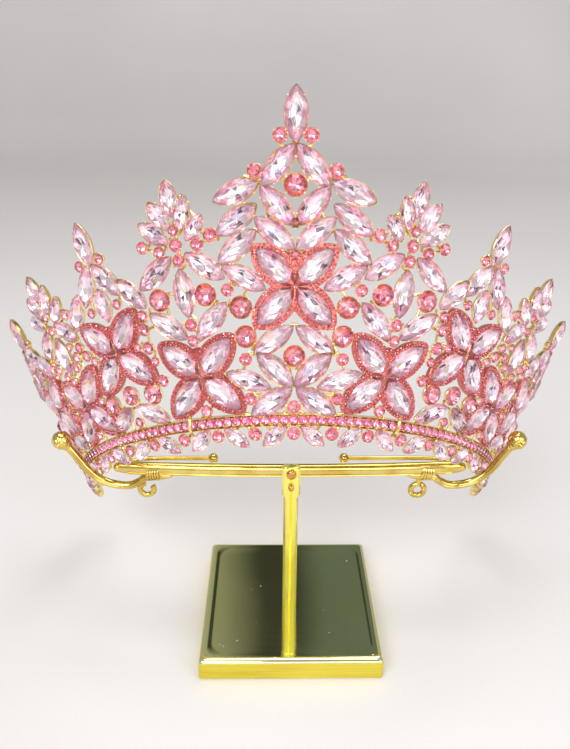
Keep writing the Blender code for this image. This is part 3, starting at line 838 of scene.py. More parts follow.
@dataclass(frozen=True)
class DarkCard(Finish):
    """Card that the polished plate mirrors: sage at its left, nearly black in its middle."""

    name: str = "dark_card"
    left: Colour = (0.48, 0.50, 0.40)
    middle: Colour = (0.035, 0.04, 0.035)
    right: Colour = (0.16, 0.20, 0.18)
    half: float = 0.4

    def paint(self, sheet: NodeSheet) -> None:
        """Shade the card from its left to its right."""
        across = sheet.add("ShaderNodeSeparateXYZ", None, {"Vector": sheet.coordinates()})
        place = sheet.out(across, "X") * (0.5 / self.half) + sheet.noise(4.0, 2.0) * 0.08 + 0.46
        stops = ((0.34, self.left), (0.46, self.middle), (0.54, self.middle), (0.61, self.right))
        sheet.feed(sheet.shader, {"Base Color": sheet.ramp(place, stops), "Roughness": 0.8})


@dataclass(frozen=True)
class StudioPaper(Finish):
    """Pale seamless paper of the floor."""

    name: str = "studio_paper"
    light: Colour = (0.80, 0.79, 0.78)
    dark: Colour = (0.74, 0.73, 0.72)

    def paint(self, sheet: NodeSheet) -> None:
        """Mottle the paper a little."""
        fibre = sheet.noise(900.0, 3.0)
        broad = sheet.noise(3.0, 2.0)
        colour = sheet.ramp(fibre * 0.3 + broad * 0.7, ((0.3, self.dark), (0.7, self.light)))
        sheet.feed(sheet.shader, {
            "Base Color": colour, "Roughness": fibre * 0.2 + 0.55,
            "Normal": sheet.bump(fibre, 0.08, 0.0002),
        })


SETTING_GOLD = Gilt("setting_gold", (0.98, 0.80, 0.36), (0.90, 0.64, 0.20), 0.16)
HALO_GOLD = Gilt("halo_gold", (0.80, 0.25, 0.20), (0.60, 0.13, 0.12), 0.26)
BAR_GOLD = Gilt("bar_gold", (0.82, 0.64, 0.20), (0.62, 0.43, 0.09), 0.07, 0.07, 120.0)
KNOB_GOLD = Gilt("knob_gold", (0.78, 0.44, 0.14), (0.52, 0.25, 0.06), 0.12)
POST_GOLD = Gilt("post_gold", (0.98, 0.91, 0.22), (0.95, 0.84, 0.14), 0.2, 0.05, 60.0, 0.04, 0.85)
BRUSHED = BrushedGilt()
MIRROR = MirrorGilt()
CRYSTALS = {
    Hue.PALE: Crystal("pale_crystal", (1.0, 0.97, 0.985), (1.0, 0.92, 0.95)),
    Hue.ROSE: Crystal("rose_crystal", (1.0, 0.88, 0.92), (1.0, 0.82, 0.88)),
    Hue.HOT: Crystal("hot_crystal", (1.0, 0.85, 0.95), (1.0, 0.78, 0.91)),
}
FOILS = {
    Hue.PALE: Foil("pale_foil", (1.0, 0.88, 0.94), 0.1, 0.13),
    Hue.ROSE: Foil("rose_foil", (1.0, 0.52, 0.62)),
    Hue.HOT: Foil("hot_foil", (1.0, 0.50, 0.74)),
}
PAVE = Chip("pave_coral", (0.86, 0.20, 0.22))

# how pieces of the tiara's metal and of the bar are finished: see Piece.finish
AS_SETTING = ((SETTING_GOLD,), "gold_setting", True, ("tiara_frame",))
AS_BAR = ((BAR_GOLD,), "gold_bar", True, ("hooked_bar",))

# facet tints of each hue, near the stone's edge and near its middle: share, colour. Besides the stones'
# own pinks, the tables hold painted light: the near-white facets are painted highlights and the darkest
# facets are painted dark reflections.
EDGE_TINTS_AND_REFLECTIONS = {
    Hue.PALE: (
        (4.5, (1.0, 0.58, 0.71)), (3.0, (1.0, 0.78, 0.87)), (2.5, (1.0, 0.97, 0.99)),
        (1.2, (0.95, 0.40, 0.56)), (0.3, (1.0, 0.84, 0.66)),
    ),
    Hue.ROSE: (
        (3.5, (1.0, 0.50, 0.60)), (3.0, (0.95, 0.32, 0.43)), (2.5, (1.0, 0.76, 0.81)),
        (0.8, (0.70, 0.13, 0.24)), (1.0, (1.0, 0.58, 0.46)),
    ),
    Hue.HOT: (
        (4.0, (1.0, 0.46, 0.56)), (3.0, (0.94, 0.32, 0.44)), (2.5, (1.0, 0.74, 0.80)),
        (0.8, (0.70, 0.15, 0.27)),
    ),
}
# middle tints: the near-white ones are painted highlights and the darkest ones painted dark reflections,
# among the stones' own pinks
HEART_TINTS_AND_REFLECTIONS = {
    Hue.PALE: (
        (8.0, (1.0, 0.98, 1.0)), (3.0, (1.0, 0.88, 0.95)), (1.2, (0.94, 0.91, 1.0)),
        (1.6, (0.06, 0.02, 0.05)), (0.8, (0.70, 0.42, 0.56)), (0.3, (1.0, 0.86, 0.42)),
        (0.3, (0.62, 0.68, 1.0)),
    ),
    Hue.ROSE: (
        (3.0, (1.0, 0.50, 0.60)), (2.5, (1.0, 0.72, 0.78)), (0.8, (1.0, 0.90, 0.92)),
        (2.5, (0.88, 0.24, 0.34)), (1.5, (0.55, 0.07, 0.16)), (1.0, (1.0, 0.56, 0.40)),
    ),
    Hue.HOT: (
        (3.0, (1.0, 0.54, 0.63)), (2.5, (1.0, 0.76, 0.82)), (1.2, (1.0, 0.93, 0.95)),
        (1.5, (0.92, 0.32, 0.50)), (0.8, (0.60, 0.12, 0.28)),
    ),
}
# tints of the tiny coral stones: share, colour; the near-white facets are painted highlights and the
# near-black ones painted dark reflections
PAVE_TINTS_AND_REFLECTIONS = (
    (4.0, (0.80, 0.12, 0.15)), (3.0, (0.50, 0.03, 0.06)), (2.0, (0.98, 0.36, 0.34)),
    (1.8, (1.0, 0.82, 0.80)), (2.4, (0.20, 0.005, 0.02)), (0.5, (0.98, 0.50, 0.20)),
)


def as_mesh(body: bmesh.types.BMesh, name: str) -> bpy.types.Mesh:
    """Turn a body into a mesh and free it."""
    mesh = bpy.data.meshes.new(name)
    body.to_mesh(mesh)
    body.free()
    return mesh


@dataclass(frozen=True)
class GemPlan:
    """Facet plan of a brilliant: rings of corners whose hull is the stone."""

    cut: Cut
    mains: int = 8
    table: float = 0.56
    star: float = 0.80
    star_rise: float = 0.58
    girdle: float = 0.12
    # lower rings of the foil: share and depth
    shoulder: Point = (0.74, 0.46)
    waist: Point = (0.42, 0.81)

    def rings(self) -> tuple:
        """List share, turn, corner count and height of each ring of corners."""
        half = 0.5 / self.mains
        return (
            (self.table, 0.0, self.mains, 1.0),
            (self.star, half, self.mains, self.star_rise),
            (1.0, 0.0, 2 * self.mains, 0.0),
            (1.0, 0.0, 2 * self.mains, -self.girdle),
            (self.shoulder[0], half, self.mains, -self.shoulder[1]),
            (self.waist[0], 0.0, self.mains, -self.waist[1]),
            (0.06, half, self.mains, -1.0),
        )

    def mesh(self, name: str, levels: int = 7) -> bpy.types.Mesh:
        """Wrap the corners in their hull.

        Args:
            name: Name of the mesh.
            levels: How many rings are used; four give a flat back at the girdle.

        Returns:
            A closed mesh one unit across, with the crown in slot 0 and the foil in slot 1.
        """
        body = bmesh.new()
        for share, turn, count, height in self.rings()[:levels]:
            for k in range(count):
                x, y = self.cut.edge(k / count + turn)
                body.verts.new((x * share, y * share, height))
        bmesh.ops.convex_hull(body, input=body.verts[:])
        bmesh.ops.dissolve_limit(
            body, angle_limit=math.radians(0.3), verts=body.verts[:], edges=body.edges[:],
        )
        bmesh.ops.recalc_face_normals(body, faces=body.faces[:])
        for face in body.faces:
            face.material_index = 0 if face.calc_center_median().z > -self.girdle - 0.001 else 1
        return as_mesh(body, name)


def column(sides: int, levels: int) -> bmesh.types.BMesh:
    """Raise a closed column of unit radius, one unit for each level.

    Args:
        sides: Corners of the section.
        levels: How many rings of corners it has.

    Returns:
        The column, whose corners are at heights 0, 1, 2 and so on.
    """
    body = bmesh.new()
    bmesh.ops.create_circle(body, cap_ends=True, segments=sides, radius=1.0)
    for level in range(1, levels):
        top = max(body.faces, key=lambda f: min(v.co.z for v in f.verts) + len(f.verts) / 1000.0)
        raised = bmesh.ops.extrude_face_region(body, geom=[top])
        corners = [v for v in raised["geom"] if isinstance(v, bmesh.types.BMVert)]
        bmesh.ops.translate(body, verts=corners, vec=(0.0, 0.0, 1.0))
        if level > 1:
            bmesh.ops.delete(body, geom=[top], context="FACES_ONLY")
    bmesh.ops.recalc_face_normals(body, faces=body.faces[:])
    return body


def strand(path: list, radii: list | tuple, sides: int = 12, flat: float = 1.0,
           level: tuple = (0.0, 1.0, 0.0)) -> bmesh.types.BMesh:
    """Sweep a round or oval section along a path.

    Args:
        path: Points in millimetres.
        radii: Radius at each point.
        sides: Corners of the section.
        flat: Depth of the section as a share of its height.
        level: Direction that the section's depth keeps to.

    Returns:
        The swept body in metres.
    """
    points = [Vector(p) for p in path]
    body = column(sides, len(points))
    count = len(points)
    frames = []
    for k in range(count):
        along = points[min(k + 1, count - 1)] - points[max(k - 1, 0)]
        along.normalize()
        side = along.cross(Vector(level))
        if side.length < 0.1:
            side = along.cross(Vector((0.0, 0.0, 1.0)))
        side.normalize()
        frames.append((side, side.cross(along).normalized()))
    for corner in body.verts:
        k = min(count - 1, max(0, round(corner.co.z)))
        side, other = frames[k]
        offset = side * (corner.co.x * radii[k]) + other * (corner.co.y * radii[k] * flat)
        corner.co = (points[k] + offset) * MM
    bmesh.ops.recalc_face_normals(body, faces=body.faces[:])
    return body


def smooth_path(path: tuple, steps: int = 6) -> list[Vector]:
    """Run a soft curve through a few points.

    Args:
        path: Points to pass through.
        steps: How many pieces each span is cut into.

    Returns:
        The points of the curve.
    """
    points = [Vector(p) for p in path]
    line = []
    for k in range(len(points) - 1):
        before = points[max(k - 1, 0)]
        start = points[k]
        end = points[k + 1]
        after = points[min(k + 2, len(points) - 1)]
        for n in range(steps):
            t = n / steps
            line.append(0.5 * (
                2.0 * start + (end - before) * t
                + (2.0 * before - 5.0 * start + 4.0 * end - after) * t * t
                + (3.0 * start - before - 3.0 * end + after) * t ** 3
            ))
    line.append(points[-1])
    return line


class Piece:
    """One finished object of the scene, gathered from smaller bodies."""

    def __init__(self, name: str) -> None:
        """Start an empty piece."""
        self.name = name
        self.body = bmesh.new()
        self.body.loops.layers.float_color.new("facet")

    def take(self, mesh: bpy.types.Mesh, spot: Matrix) -> None:
        """Add a copy of a mesh, placed by a matrix."""
        copy = mesh.copy()
        copy.transform(spot)
        self.body.from_mesh(copy)
        bpy.data.meshes.remove(copy)

    def take_body(self, body: bmesh.types.BMesh) -> None:
        """Add a body with its slots and free it."""
        mesh = as_mesh(body, "part")
        self.body.from_mesh(mesh)
        bpy.data.meshes.remove(mesh)

    def bead(self, radius: float, spot: Matrix, rounds: int = 1) -> None:
        """Add a small bead of a few dozen faces, in the units of its matrix."""
        body = bmesh.new()
        bmesh.ops.create_icosphere(body, subdivisions=rounds, radius=radius, matrix=spot)
        self.take_body(body)

    def ball(self, radius: float, centre: Vector) -> None:
        """Add a smooth ball, in millimetres."""
        body = bmesh.new()
        spot = Matrix.Translation(centre * MM)
        bmesh.ops.create_uvsphere(body, u_segments=20, v_segments=12, radius=radius * MM, matrix=spot)
        self.take_body(body)

    def tint(self, tints: tuple, seed: int) -> None:
        """Give each facet a tint picked from a table of shares and colours; the pavé table holds painted
        highlights and painted dark reflections besides the coral tints.
        """
        picker = random.Random(seed)
        layer = self.body.loops.layers.float_color["facet"]
        shares = [share for share, _ in tints]
        colours = [colour for _, colour in tints]
        for face in self.body.faces:
            colour = picker.choices(colours, shares)[0]
            lift = picker.uniform(0.88, 1.0)
            for loop in face.loops:
                loop[layer] = (colour[0] * lift, colour[1] * lift, colour[2] * lift, 1.0)

    def finish(self, finishes: tuple, slot: str, smooth: bool = False,
               replaced: tuple = ()) -> None:
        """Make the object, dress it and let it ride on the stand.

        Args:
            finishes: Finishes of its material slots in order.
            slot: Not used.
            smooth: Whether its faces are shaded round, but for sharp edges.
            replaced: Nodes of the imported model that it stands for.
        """
        mesh = bpy.data.meshes.new(self.name)
        for face in self.body.faces:
            face.smooth = smooth
        if smooth:
            for edge in self.body.edges:
                edge.smooth = edge.calc_face_angle(0.0) < math.radians(SHARP_FROM)
        self.body.to_mesh(mesh)
        self.body.free()
        for finish in finishes:
            mesh.materials.append(finish.material())
        made = bpy.data.objects.new(self.name, mesh)
        bpy.context.scene.collection.objects.link(made)
        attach(made, "root")
        if replaced:
            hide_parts(*replaced)
        LOG.info("%s: %d faces", self.name, len(mesh.polygons))


@dataclass
class CutStones:
    """All the larger stones, cut as brilliants over foil."""

    stones: list
    girdle: float = 0.55
    crown_share: float = 0.26
    crown_most: float = 1.5
    pavilion_share: float = 0.32
    pavilion_most: float = 1.8
    wobble: float = 2.5
    inset: float = 0.02
    sunk: float = 0.35
    heart: float = 0.5
    wheel_from: float = 5.0
    plans: dict = field(default_factory=dict)

    def build(self) -> None:
        """Build one piece for each group and hue."""
        self.plans = {
            "navette": GemPlan(Cut.NAVETTE, 10, 0.54, 0.8).mesh("navette_plan"),
            "round": GemPlan(Cut.ROUND, 8, 0.48, 0.76).mesh("round_plan"),
            "wheel": GemPlan(Cut.ROUND, 11, 0.3, 0.62).mesh("wheel_plan"),
        }
        groups = sorted({(s.group, s.hue.value) for s in self.stones})
        for seed, (group, hue) in enumerate(groups):
            chosen = [s for s in self.stones if s.group == group and s.hue.value == hue]
            self.piece(f"{group}_{hue}_stones", chosen, Hue(hue), seed + 11)

    def piece(self, name: str, stones: list, hue: Hue, seed: int) -> None:
        """Set the stones of one group.

        Args:
            name: Name of the piece.
            stones: The stones that it holds.
            hue: Their colour family.
            seed: Start of the small differences between them.
        """
        piece = Piece(name)
        picker = random.Random(seed)
        for stone in stones:
            self.set_stone(piece, stone, hue, picker)
        owned = tuple(s.name for s in stones if s.own)
        piece.finish((CRYSTALS[hue], FOILS[hue]), "pale_stone", False, owned)

    def tint(self, mesh: bpy.types.Mesh, hue: Hue, picker: random.Random) -> None:
        """Give each facet a tint, chosen by how near the stone's middle it lies; the tints hold painted
        highlights and painted dark reflections besides the stone's own pinks.
        """
        layer = mesh.color_attributes.new("facet", "FLOAT_COLOR", "CORNER")
        for facet in mesh.polygons:
            near = math.hypot(facet.center.x, facet.center.y) < self.heart
            # both tables hold painted highlights and painted dark reflections besides the stone's own
            # pinks
            table = HEART_TINTS_AND_REFLECTIONS[hue] if near else EDGE_TINTS_AND_REFLECTIONS[hue]
            colour = picker.choices([c for _, c in table], [n for n, _ in table])[0]
            lift = picker.uniform(0.9, 1.0)
            for corner in facet.loop_indices:
                layer.data[corner].color = (*[c * lift for c in colour], 1.0)

    def set_stone(self, piece: Piece, stone: Stone, hue: Hue, picker: random.Random) -> None:
        """Shape one stone from its plan and lay it in its place."""
        wheel = stone.cut is Cut.ROUND and stone.width > self.wheel_from
        mesh = self.plans["wheel" if wheel else stone.cut.value].copy()
        self.tint(mesh, hue, picker)
        half_width = stone.width / 2.0 - self.inset
        half_length = stone.length / 2.0 - self.inset
        crown = min(self.crown_most, self.crown_share * stone.width)
        pavilion = min(self.pavilion_most, self.pavilion_share * stone.width)
        tilt = Matrix.Rotation(math.radians(picker.uniform(-self.wobble, self.wobble)), 4, "X")
        roll = Matrix.Rotation(math.radians(picker.uniform(-self.wobble, self.wobble)), 4, "Y")
        for corner in mesh.vertices:
            x, y, z = corner.co
            deep = z * (crown if z > 0.0 else pavilion)
            corner.co = (x * half_width, y * half_length, deep)
        lift = Matrix.Translation((0.0, 0.0, self.girdle - (self.sunk if stone.haloed else 0.0)))
        piece.take(mesh, SLOPE.matrix(stone.turn, stone.height, stone.lean) @ lift @ tilt @ roll)
        bpy.data.meshes.remove(mesh)


@dataclass
class StoneCups:
    """Gilt cups with a beaded lip that hold the larger stones."""

    stones: list
    sides: int = 32
    lip: float = 0.05
    # rings from the back to the inside of the lip: growth, share, depth
    rings: tuple = (
        (-0.8, 0.40, -1.7), (-0.7, 0.74, -1.55), (-0.4, 0.98, -0.8), (-0.16, 1.0, 0.0),
        (0.02, 1.0, 0.4), (-0.06, 1.0, 0.52), (-0.3, 1.0, 0.4), (-0.4, 0.98, 0.0),
        (-0.6, 0.4, -1.45),
    )
    # levels of the rings whose every other corner is raised as beading
    beaded: tuple = (4, 5)
    # how much lower the cup of a haloed stone sits
    sunk: float = 0.5
    claw: float = 0.27
    claw_depth: float = 0.66
    claw_shares: tuple = (0.14, 0.36, 0.64, 0.86)

    def build(self) -> None:
        """Build one piece of cups for each group of stones."""
        plan = as_mesh(column(self.sides, len(self.rings)), "cup_plan")
        for group in sorted({s.group for s in self.stones}):
            piece = Piece(f"{group}_settings")
            for stone in (s for s in self.stones if s.group == group):
                self.cup(piece, plan, stone)
                self.claws(piece, stone)
            piece.finish(*AS_SETTING)

    def cup(self, piece: Piece, plan: bpy.types.Mesh, stone: Stone) -> None:
        """Shape one cup round a stone's outline."""
        mesh = plan.copy()
        small = min(1.0, stone.width / 4.4)
        for corner in mesh.vertices:
            level = round(corner.co.z)
            grow, share, depth = self.rings[level]
            angle = math.atan2(corner.co.x, corner.co.y) / (2.0 * math.pi)
            x, y = stone.cut.edge(angle)
            beading = self.lip if round(angle * self.sides) % 2 and level in self.beaded else 0.0
            size = share * (stone.width / 2.0 + grow), share * (stone.length / 2.0 + grow)
            deep = depth * small if depth < 0.0 else depth
            lift = beading - (self.sunk if stone.haloed else 0.0)
            corner.co = (x * size[0], y * size[1], deep + lift)
        piece.take(mesh, SLOPE.matrix(stone.turn, stone.height, stone.lean))
        bpy.data.meshes.remove(mesh)

    def claws(self, piece: Piece, stone: Stone) -> None:
        """Set four small claws over the edge of a stone that has no halo."""
        place = SLOPE.matrix(stone.turn, stone.height, stone.lean)
        for share in () if stone.haloed else self.claw_shares:
            x, y = stone.cut.edge(share)
            spot = (
                x * (stone.width / 2.0 - 0.05), y * (stone.length / 2.0 - 0.05), self.claw_depth,
            )
            size = self.claw * min(1.0, stone.width / 5.0)
            shape = Matrix.Diagonal((size, size, size * 0.8, 1.0))
            piece.bead(1.0, place @ Matrix.Translation(spot) @ shape)


@dataclass
class TieWires:
    """Short gilt wires that tie the settings to each other and to the band."""

    stones: list
    radius: float = 0.45
    depth: float = -1.1
    reach: float = 6.0
    # how far a wire runs on into each setting
    overlap: float = 1.1
    # how far a setting reaches past its stone
    lip: float = 0.3
    # settings that are joined already get one more wire across a gap between these
    extra: Point = (1.0, 1.3)
    # outlines whose first corners are farther apart than this can't be tied
    too_far: float = 24.0
    double: float = 1.3
    band_end: float = 98.0
    band_half: float = 1.9
    fused: dict = field(default_factory=dict)

    def root(self, item: int) -> int:
        """Follow the joined items to the one that stands for them."""
        while self.fused[item] != item:
            item = self.fused[item]
        return item

    @staticmethod
    def parting(first: list, second: list) -> tuple:
        """Find the nearest corners of two outlines.

        Args:
            first: Corners of the one outline.
            second: Corners of the other.

        Returns:
            Their distance and the two corners.
        """
        best = (1e9, first[0], second[0])
        for a in first:
            for b in second:
                gap = math.hypot(a[0] - b[0], a[1] - b[1])
                if gap < best[0]:
                    best = (gap, a, b)
        return best

    def band_pieces(self) -> list:
        """Cut the band's edges into short rows of points on the unrolled cone."""
        pieces = []
        count = int(self.band_end)
        for k in range(-count, count, 2):
            pieces.append([
                SLOPE.flat(k + 0.5 * n, height)
                for n in range(4) for height in (-self.band_half, self.band_half)
            ])
        return pieces

    def plan(self) -> list:
        """Choose the wires.

        Returns:
            Start and end of each wire on the unrolled cone.
        """
        outlines = [s.unrolled(self.lip, 20) for s in self.stones] + self.band_pieces()
        first_band = len(self.stones)
        self.fused = {k: k for k in range(len(outlines))}
        for k in range(first_band + 1, len(outlines)):
            self.fused[self.root(k)] = self.root(first_band)
        near = []
        for i in range(first_band):
            for j in range(i + 1, len(outlines)):
                a = outlines[i][0]
                b = outlines[j][0]
                if math.hypot(a[0] - b[0], a[1] - b[1]) < self.too_far:
                    gap, one, two = self.parting(outlines[i], outlines[j])
                    if gap < self.reach:
                        near.append((round(gap, 2), i, j, one, two))
        near.sort(key=lambda item: item[:3])
        wires = []
        for gap, i, j, one, two in near:
            joined = self.root(i) == self.root(j)
            if joined and not self.extra[0] < gap < self.extra[1]:
                continue
            self.fused[self.root(i)] = self.root(j)
            wires.append((one, two))
        return self.mirrored(wires)

    def mirrored(self, wires: list) -> list:
        """Set every wire on both sides and drop the doubles."""
        kept = []
        for start, end in wires:
            for sign in (1.0, -1.0):
                pair = ((sign * start[0], start[1]), (sign * end[0], end[1]))
                middle = Vector(pair[0]).lerp(Vector(pair[1]), 0.5)
                spots = [Vector(a).lerp(Vector(b), 0.5) for a, b in kept]
                if all((spot - middle).length > self.double for spot in spots):
                    kept.append(pair)
        return kept

    def build(self) -> None:
        """Draw every wire a little way into the settings that it ties."""
        piece = Piece("tie_wires")
        for start, end in self.plan():
            a = Vector(start)
            b = Vector(end)
            along = (b - a).normalized() if (b - a).length > 1e-6 else Vector((0.0, 1.0))
            a -= along * self.overlap
            b += along * self.overlap
            path = []
            for k in range(5):
                turn, height = SLOPE.place(*a.lerp(b, k / 4.0))
                path.append(SLOPE.spot(turn, height, self.depth) / MM)
            piece.take_body(strand(path, [self.radius] * 5, 8))
        piece.finish(*AS_SETTING)


@dataclass
class Halos:
    """Borders of tiny coral stones round the petals of the flowers."""

    stones: list
    # rings of a halo plate from its back over its rim and down inside: growth, depth
    rings: tuple = (
        (0.8, -2.5), (1.4, -1.8), (1.62, -0.25), (1.5, -0.1),
        (0.1, -0.1), (-0.2, -0.6), (-1.4, -2.3),
    )
    sides: int = 32
    # depth from which a plate is coral instead of gilt
    coral_from: float = -1.4
    # rows of tiny stones: distance from the petal
    rows: tuple = (0.42, 1.2)
    bead: float = 0.86
    bead_depth: float = 0.12
    bead_tilt: float = 16.0
    clear: float = 0.3
    # least distance between tiny stones as a share of their size
    spacing: float = 0.98
    # a petal farther off than this can't be in the way
    far: float = 16.0
    # a point farther than this from a petal's outline can't be inside it
    petal_half: float = 3.2
    # side of the squares in which the tiny stones are looked up
    cell: float = 2.0
    # fields of tiny stones between a flower's petals: lean, reach and width
    fields: tuple = ((0.0, 6.8, 4.6), (180.0, 5.6, 3.4))
    field_rings: tuple = ((-0.3, -2.2), (0.0, -1.8), (0.0, -0.25), (-0.15, -0.1))

    def petals(self) -> list:
        """List the petals that have a halo."""
        return [s for s in self.stones if s.haloed]

    def build(self) -> None:
        """Build the plates, coral in front and gilt behind, and the stones on them."""
        self.plates()
        self.beads()

    def plates(self) -> None:
        """Lay a plate behind each petal, wider than the petal all round."""
        piece = Piece("halo_plates")
        for stone in self.petals():
            self.dish(piece, stone, self.rings)
        for turn, height, width in self.field_spots():
            field_edge = Stone("field", turn, height, 0.0, width, width, "flowers")
            self.dish(piece, field_edge, self.field_rings)
        piece.finish((SETTING_GOLD, HALO_GOLD), "gold_setting", True, ("tiara_frame",))

    def field_spots(self) -> list:
        """Find the middle and width of each field of tiny stones."""
        found = []
        for name, turn, height, _, haloed, _ in StoneChart().flowers:
            if not haloed:
                continue
            for lean, reach, width in self.fields:
                spot = SLOPE.step(turn, height, lean, reach)
                found += [(sign * spot[0], spot[1], width) for sign, _ in StoneChart.sides(turn)]
        return found

    def dish(self, piece: Piece, stone: Stone, rings: tuple) -> None:
        """Raise one plate from rings of an outline.

        Args:
            piece: The piece that takes the plate.
            stone: The stone whose outline is followed.
            rings: How far the outline grows and how deep it lies, ring by ring.
        """
        body = column(self.sides, len(rings))
        outlines = [(stone.outline(grow, self.sides), depth) for grow, depth in rings]
        for corner in body.verts:
            points, depth = outlines[round(corner.co.z)]
            share = math.atan2(corner.co.x, corner.co.y) / (2.0 * math.pi)
            x, y = points[round(share * self.sides) % self.sides]
            corner.co = (x, y, depth)
        bmesh.ops.recalc_face_normals(body, faces=body.faces[:])
        for face in body.faces:
            face.material_index = 1 if face.calc_center_median().z > self.coral_from else 0
        body.transform(SLOPE.matrix(stone.turn, stone.height))
        piece.take_body(body)

    def spots(self) -> list:
        """Choose where the tiny stones sit, row by row, without crowding.

        Returns:
            Points of the unrolled cone.
        """
        petals = self.petals()
        edges = [p.unrolled(0.0, 48) for p in petals]
        taken: dict = {}
        spots = []
        for point, own in self.wishes(petals):
            if self.free(point, own, edges, taken):
                spots.append(point)
                taken.setdefault(self.square(point), []).append(point)
        return spots

    def wishes(self, petals: list) -> list:
        """List the points that tiny stones could take: rows round petals, then fields.

        Args:
            petals: The petals with a halo.

        Returns:
            Each point and the number of its own petal, or -1 in a field.
        """
        wished = []
        for row in self.rows:
            for index, petal in enumerate(petals):
                wished += [(point, index) for point in petal.unrolled(row, 144)]
        for turn, height, width in self.field_spots():
            x0, y0 = SLOPE.flat(turn, height)
            for ring in range(int(width / 2.0 / self.bead) + 1):
                reach = ring * self.bead * 1.02
                for k in range(max(1, ring * 6)):
                    angle = 2.0 * math.pi * (k + 0.5 * ring) / max(1, ring * 6)
                    wished.append(
                        ((x0 + reach * math.sin(angle), y0 + reach * math.cos(angle)), -1)
                    )
        return wished

    def square(self, point: Point) -> tuple[int, int]:
        """Return the square in which a point is looked up."""
        return int(point[0] // self.cell), int(point[1] // self.cell)

    def free(self, point: Point, own: int, edges: list, taken: dict) -> bool:
        """Tell whether a tiny stone has room.

        Args:
            point: Its place on the unrolled cone.
            own: Number of the petal whose row it belongs to.
            edges: Outlines of all petals.
            taken: Tiny stones that are set, by square.

        Returns:
            Whether it touches no other stone and lies in no petal.
        """
        x, y = point
        a, b = self.square(point)
        for i in (a - 1, a, a + 1):
            for j in (b - 1, b, b + 1):
                for px, py in taken.get((i, j), ()):
                    if math.hypot(x - px, y - py) < self.bead * self.spacing:
                        return False
        for index, edge in enumerate(edges):
            if abs(edge[0][0] - x) > self.far:
                continue
            gap = min(math.hypot(x - px, y - py) for px, py in edge)
            if gap < self.clear:
                return False
            if index != own and gap < self.petal_half and inside(x, y, edge):
                return False
        return True

    def beads(self) -> None:
        """Set the tiny stones."""
        mesh = GemPlan(Cut.ROUND, 6, 0.5, 0.82, 0.62, 0.3).mesh("pave_plan", 4)
        piece = Piece("halo_pave")
        picker = random.Random(5)
        size = self.bead / 2.0
        for x, y in self.spots():
            turn, height = SLOPE.place(x, y)
            shape = Matrix.Diagonal((size, size, size * 0.9, 1.0))
            lift = Matrix.Translation((0.0, 0.0, self.bead_depth))
            swing = picker.uniform(-self.bead_tilt, self.bead_tilt)
            tilt = Matrix.Rotation(math.radians(swing), 4, "X")
            spin = Matrix.Rotation(picker.uniform(0.0, 6.0), 4, "Z")
            piece.take(mesh, SLOPE.matrix(turn, height) @ lift @ tilt @ spin @ shape)
        piece.tint(PAVE_TINTS_AND_REFLECTIONS, 3)
        piece.finish((PAVE,), "pale_stone", False, ("tiara_frame",))


@dataclass
class BandStrip:
    """The band: a gilt channel with a row of hot pink rounds."""

    end: float = 98.0
    half: float = 1.9
    rail: float = 0.3
    back: float = -1.7
    floor: float = -1.05
    front: float = 0.5
    steps: int = 128
    stone: float = 2.95
    pitch: float = 2.87
    soft: float = 0.14
    # gilt beads between the stones: height, depth and radius
    bead: tuple = (1.05, 0.55, 0.36)
    # joints where the side pieces are soldered on: turn
    joints: tuple = (-23.6, 23.6)
    joint_wire: float = 0.6
    # a joint's path over the band: height and depth
    joint_path: tuple = (
        (-3.4, -0.6), (-2.3, 0.5), (-1.0, 1.1), (1.0, 1.1), (2.3, 0.5), (3.2, -0.6),
    )

    def build(self) -> None:
        """Build the channel, its stones and the small gilt beads between them."""
        self.channel()
        self.row()

    def bar(self, piece: Piece, low: float, high: float, back: float, front: float) -> None:
        """Sweep a bar of four soft corners round the ring."""
        soft = self.soft
        section = (
            (low, back + soft), (low + soft, back), (high - soft, back), (high, back + soft),
            (high, front - soft), (high - soft, front), (low + soft, front), (low, front - soft),
        )
        body = column(8, self.steps + 1)
        for corner in body.verts:
            k = round(corner.co.z)
            n = round(math.atan2(corner.co.y, corner.co.x) / (math.pi / 4.0)) % 8
            turn = -self.end + 2.0 * self.end * k / self.steps
            height, depth = section[n]
            corner.co = SLOPE.spot(turn, height, depth)
        bmesh.ops.recalc_face_normals(body, faces=body.faces[:])
        piece.take_body(body)

    def channel(self) -> None:
        """Build the floor, two rails and the solder joints."""
        piece = Piece("band_channel")
        self.bar(piece, -self.half + 0.1, self.half - 0.1, self.back, self.floor)
        self.bar(piece, self.half - self.rail, self.half, self.back + 0.1, self.front)
        self.bar(piece, -self.half, -self.half + self.rail, self.back + 0.1, self.front)
        for turn in self.joints:
            path = [
                SLOPE.spot(turn + 0.12 * n, height, depth) / MM
                for n, (height, depth) in enumerate(self.joint_path)
            ]
            line = smooth_path(path, 3)
            piece.take_body(strand(line, [self.joint_wire] * len(line), 8))
        piece.finish(*AS_SETTING)

    def row(self) -> None:
        """Set the rounds and the beads that hold them."""
        stones = []
        around = 2.0 * math.radians(self.end) * SLOPE.ring_radius
        count = int(around / self.pitch) | 1
        bead_height, bead_depth, bead_radius = self.bead
        beads = Piece("band_beads")
        for k in range(count):
            turn = -self.end + 2.0 * self.end * (k + 0.5) / count
            stones.append(
                Stone(f"strip_{k}", turn, 0.0, 0.0, self.stone, self.stone, "strip", Hue.HOT)
            )
            edge = turn + self.end / count
            for height in (-bead_height, bead_height) if k < count - 1 else ():
                place = SLOPE.matrix(edge, height) @ Matrix.Translation((0.0, 0.0, bead_depth))
                beads.bead(bead_radius, place)
        beads.finish(*AS_SETTING)
        gems = CutStones(
            [], girdle=0.15, crown_share=0.34, pavilion_share=0.28, wobble=3.0, inset=0.0,
        )
        gems.plans = {"round": GemPlan(Cut.ROUND, 8, 0.48, 0.76).mesh("strip_plan")}
        gems.piece("strip_stones", stones, Hue.HOT, 71)


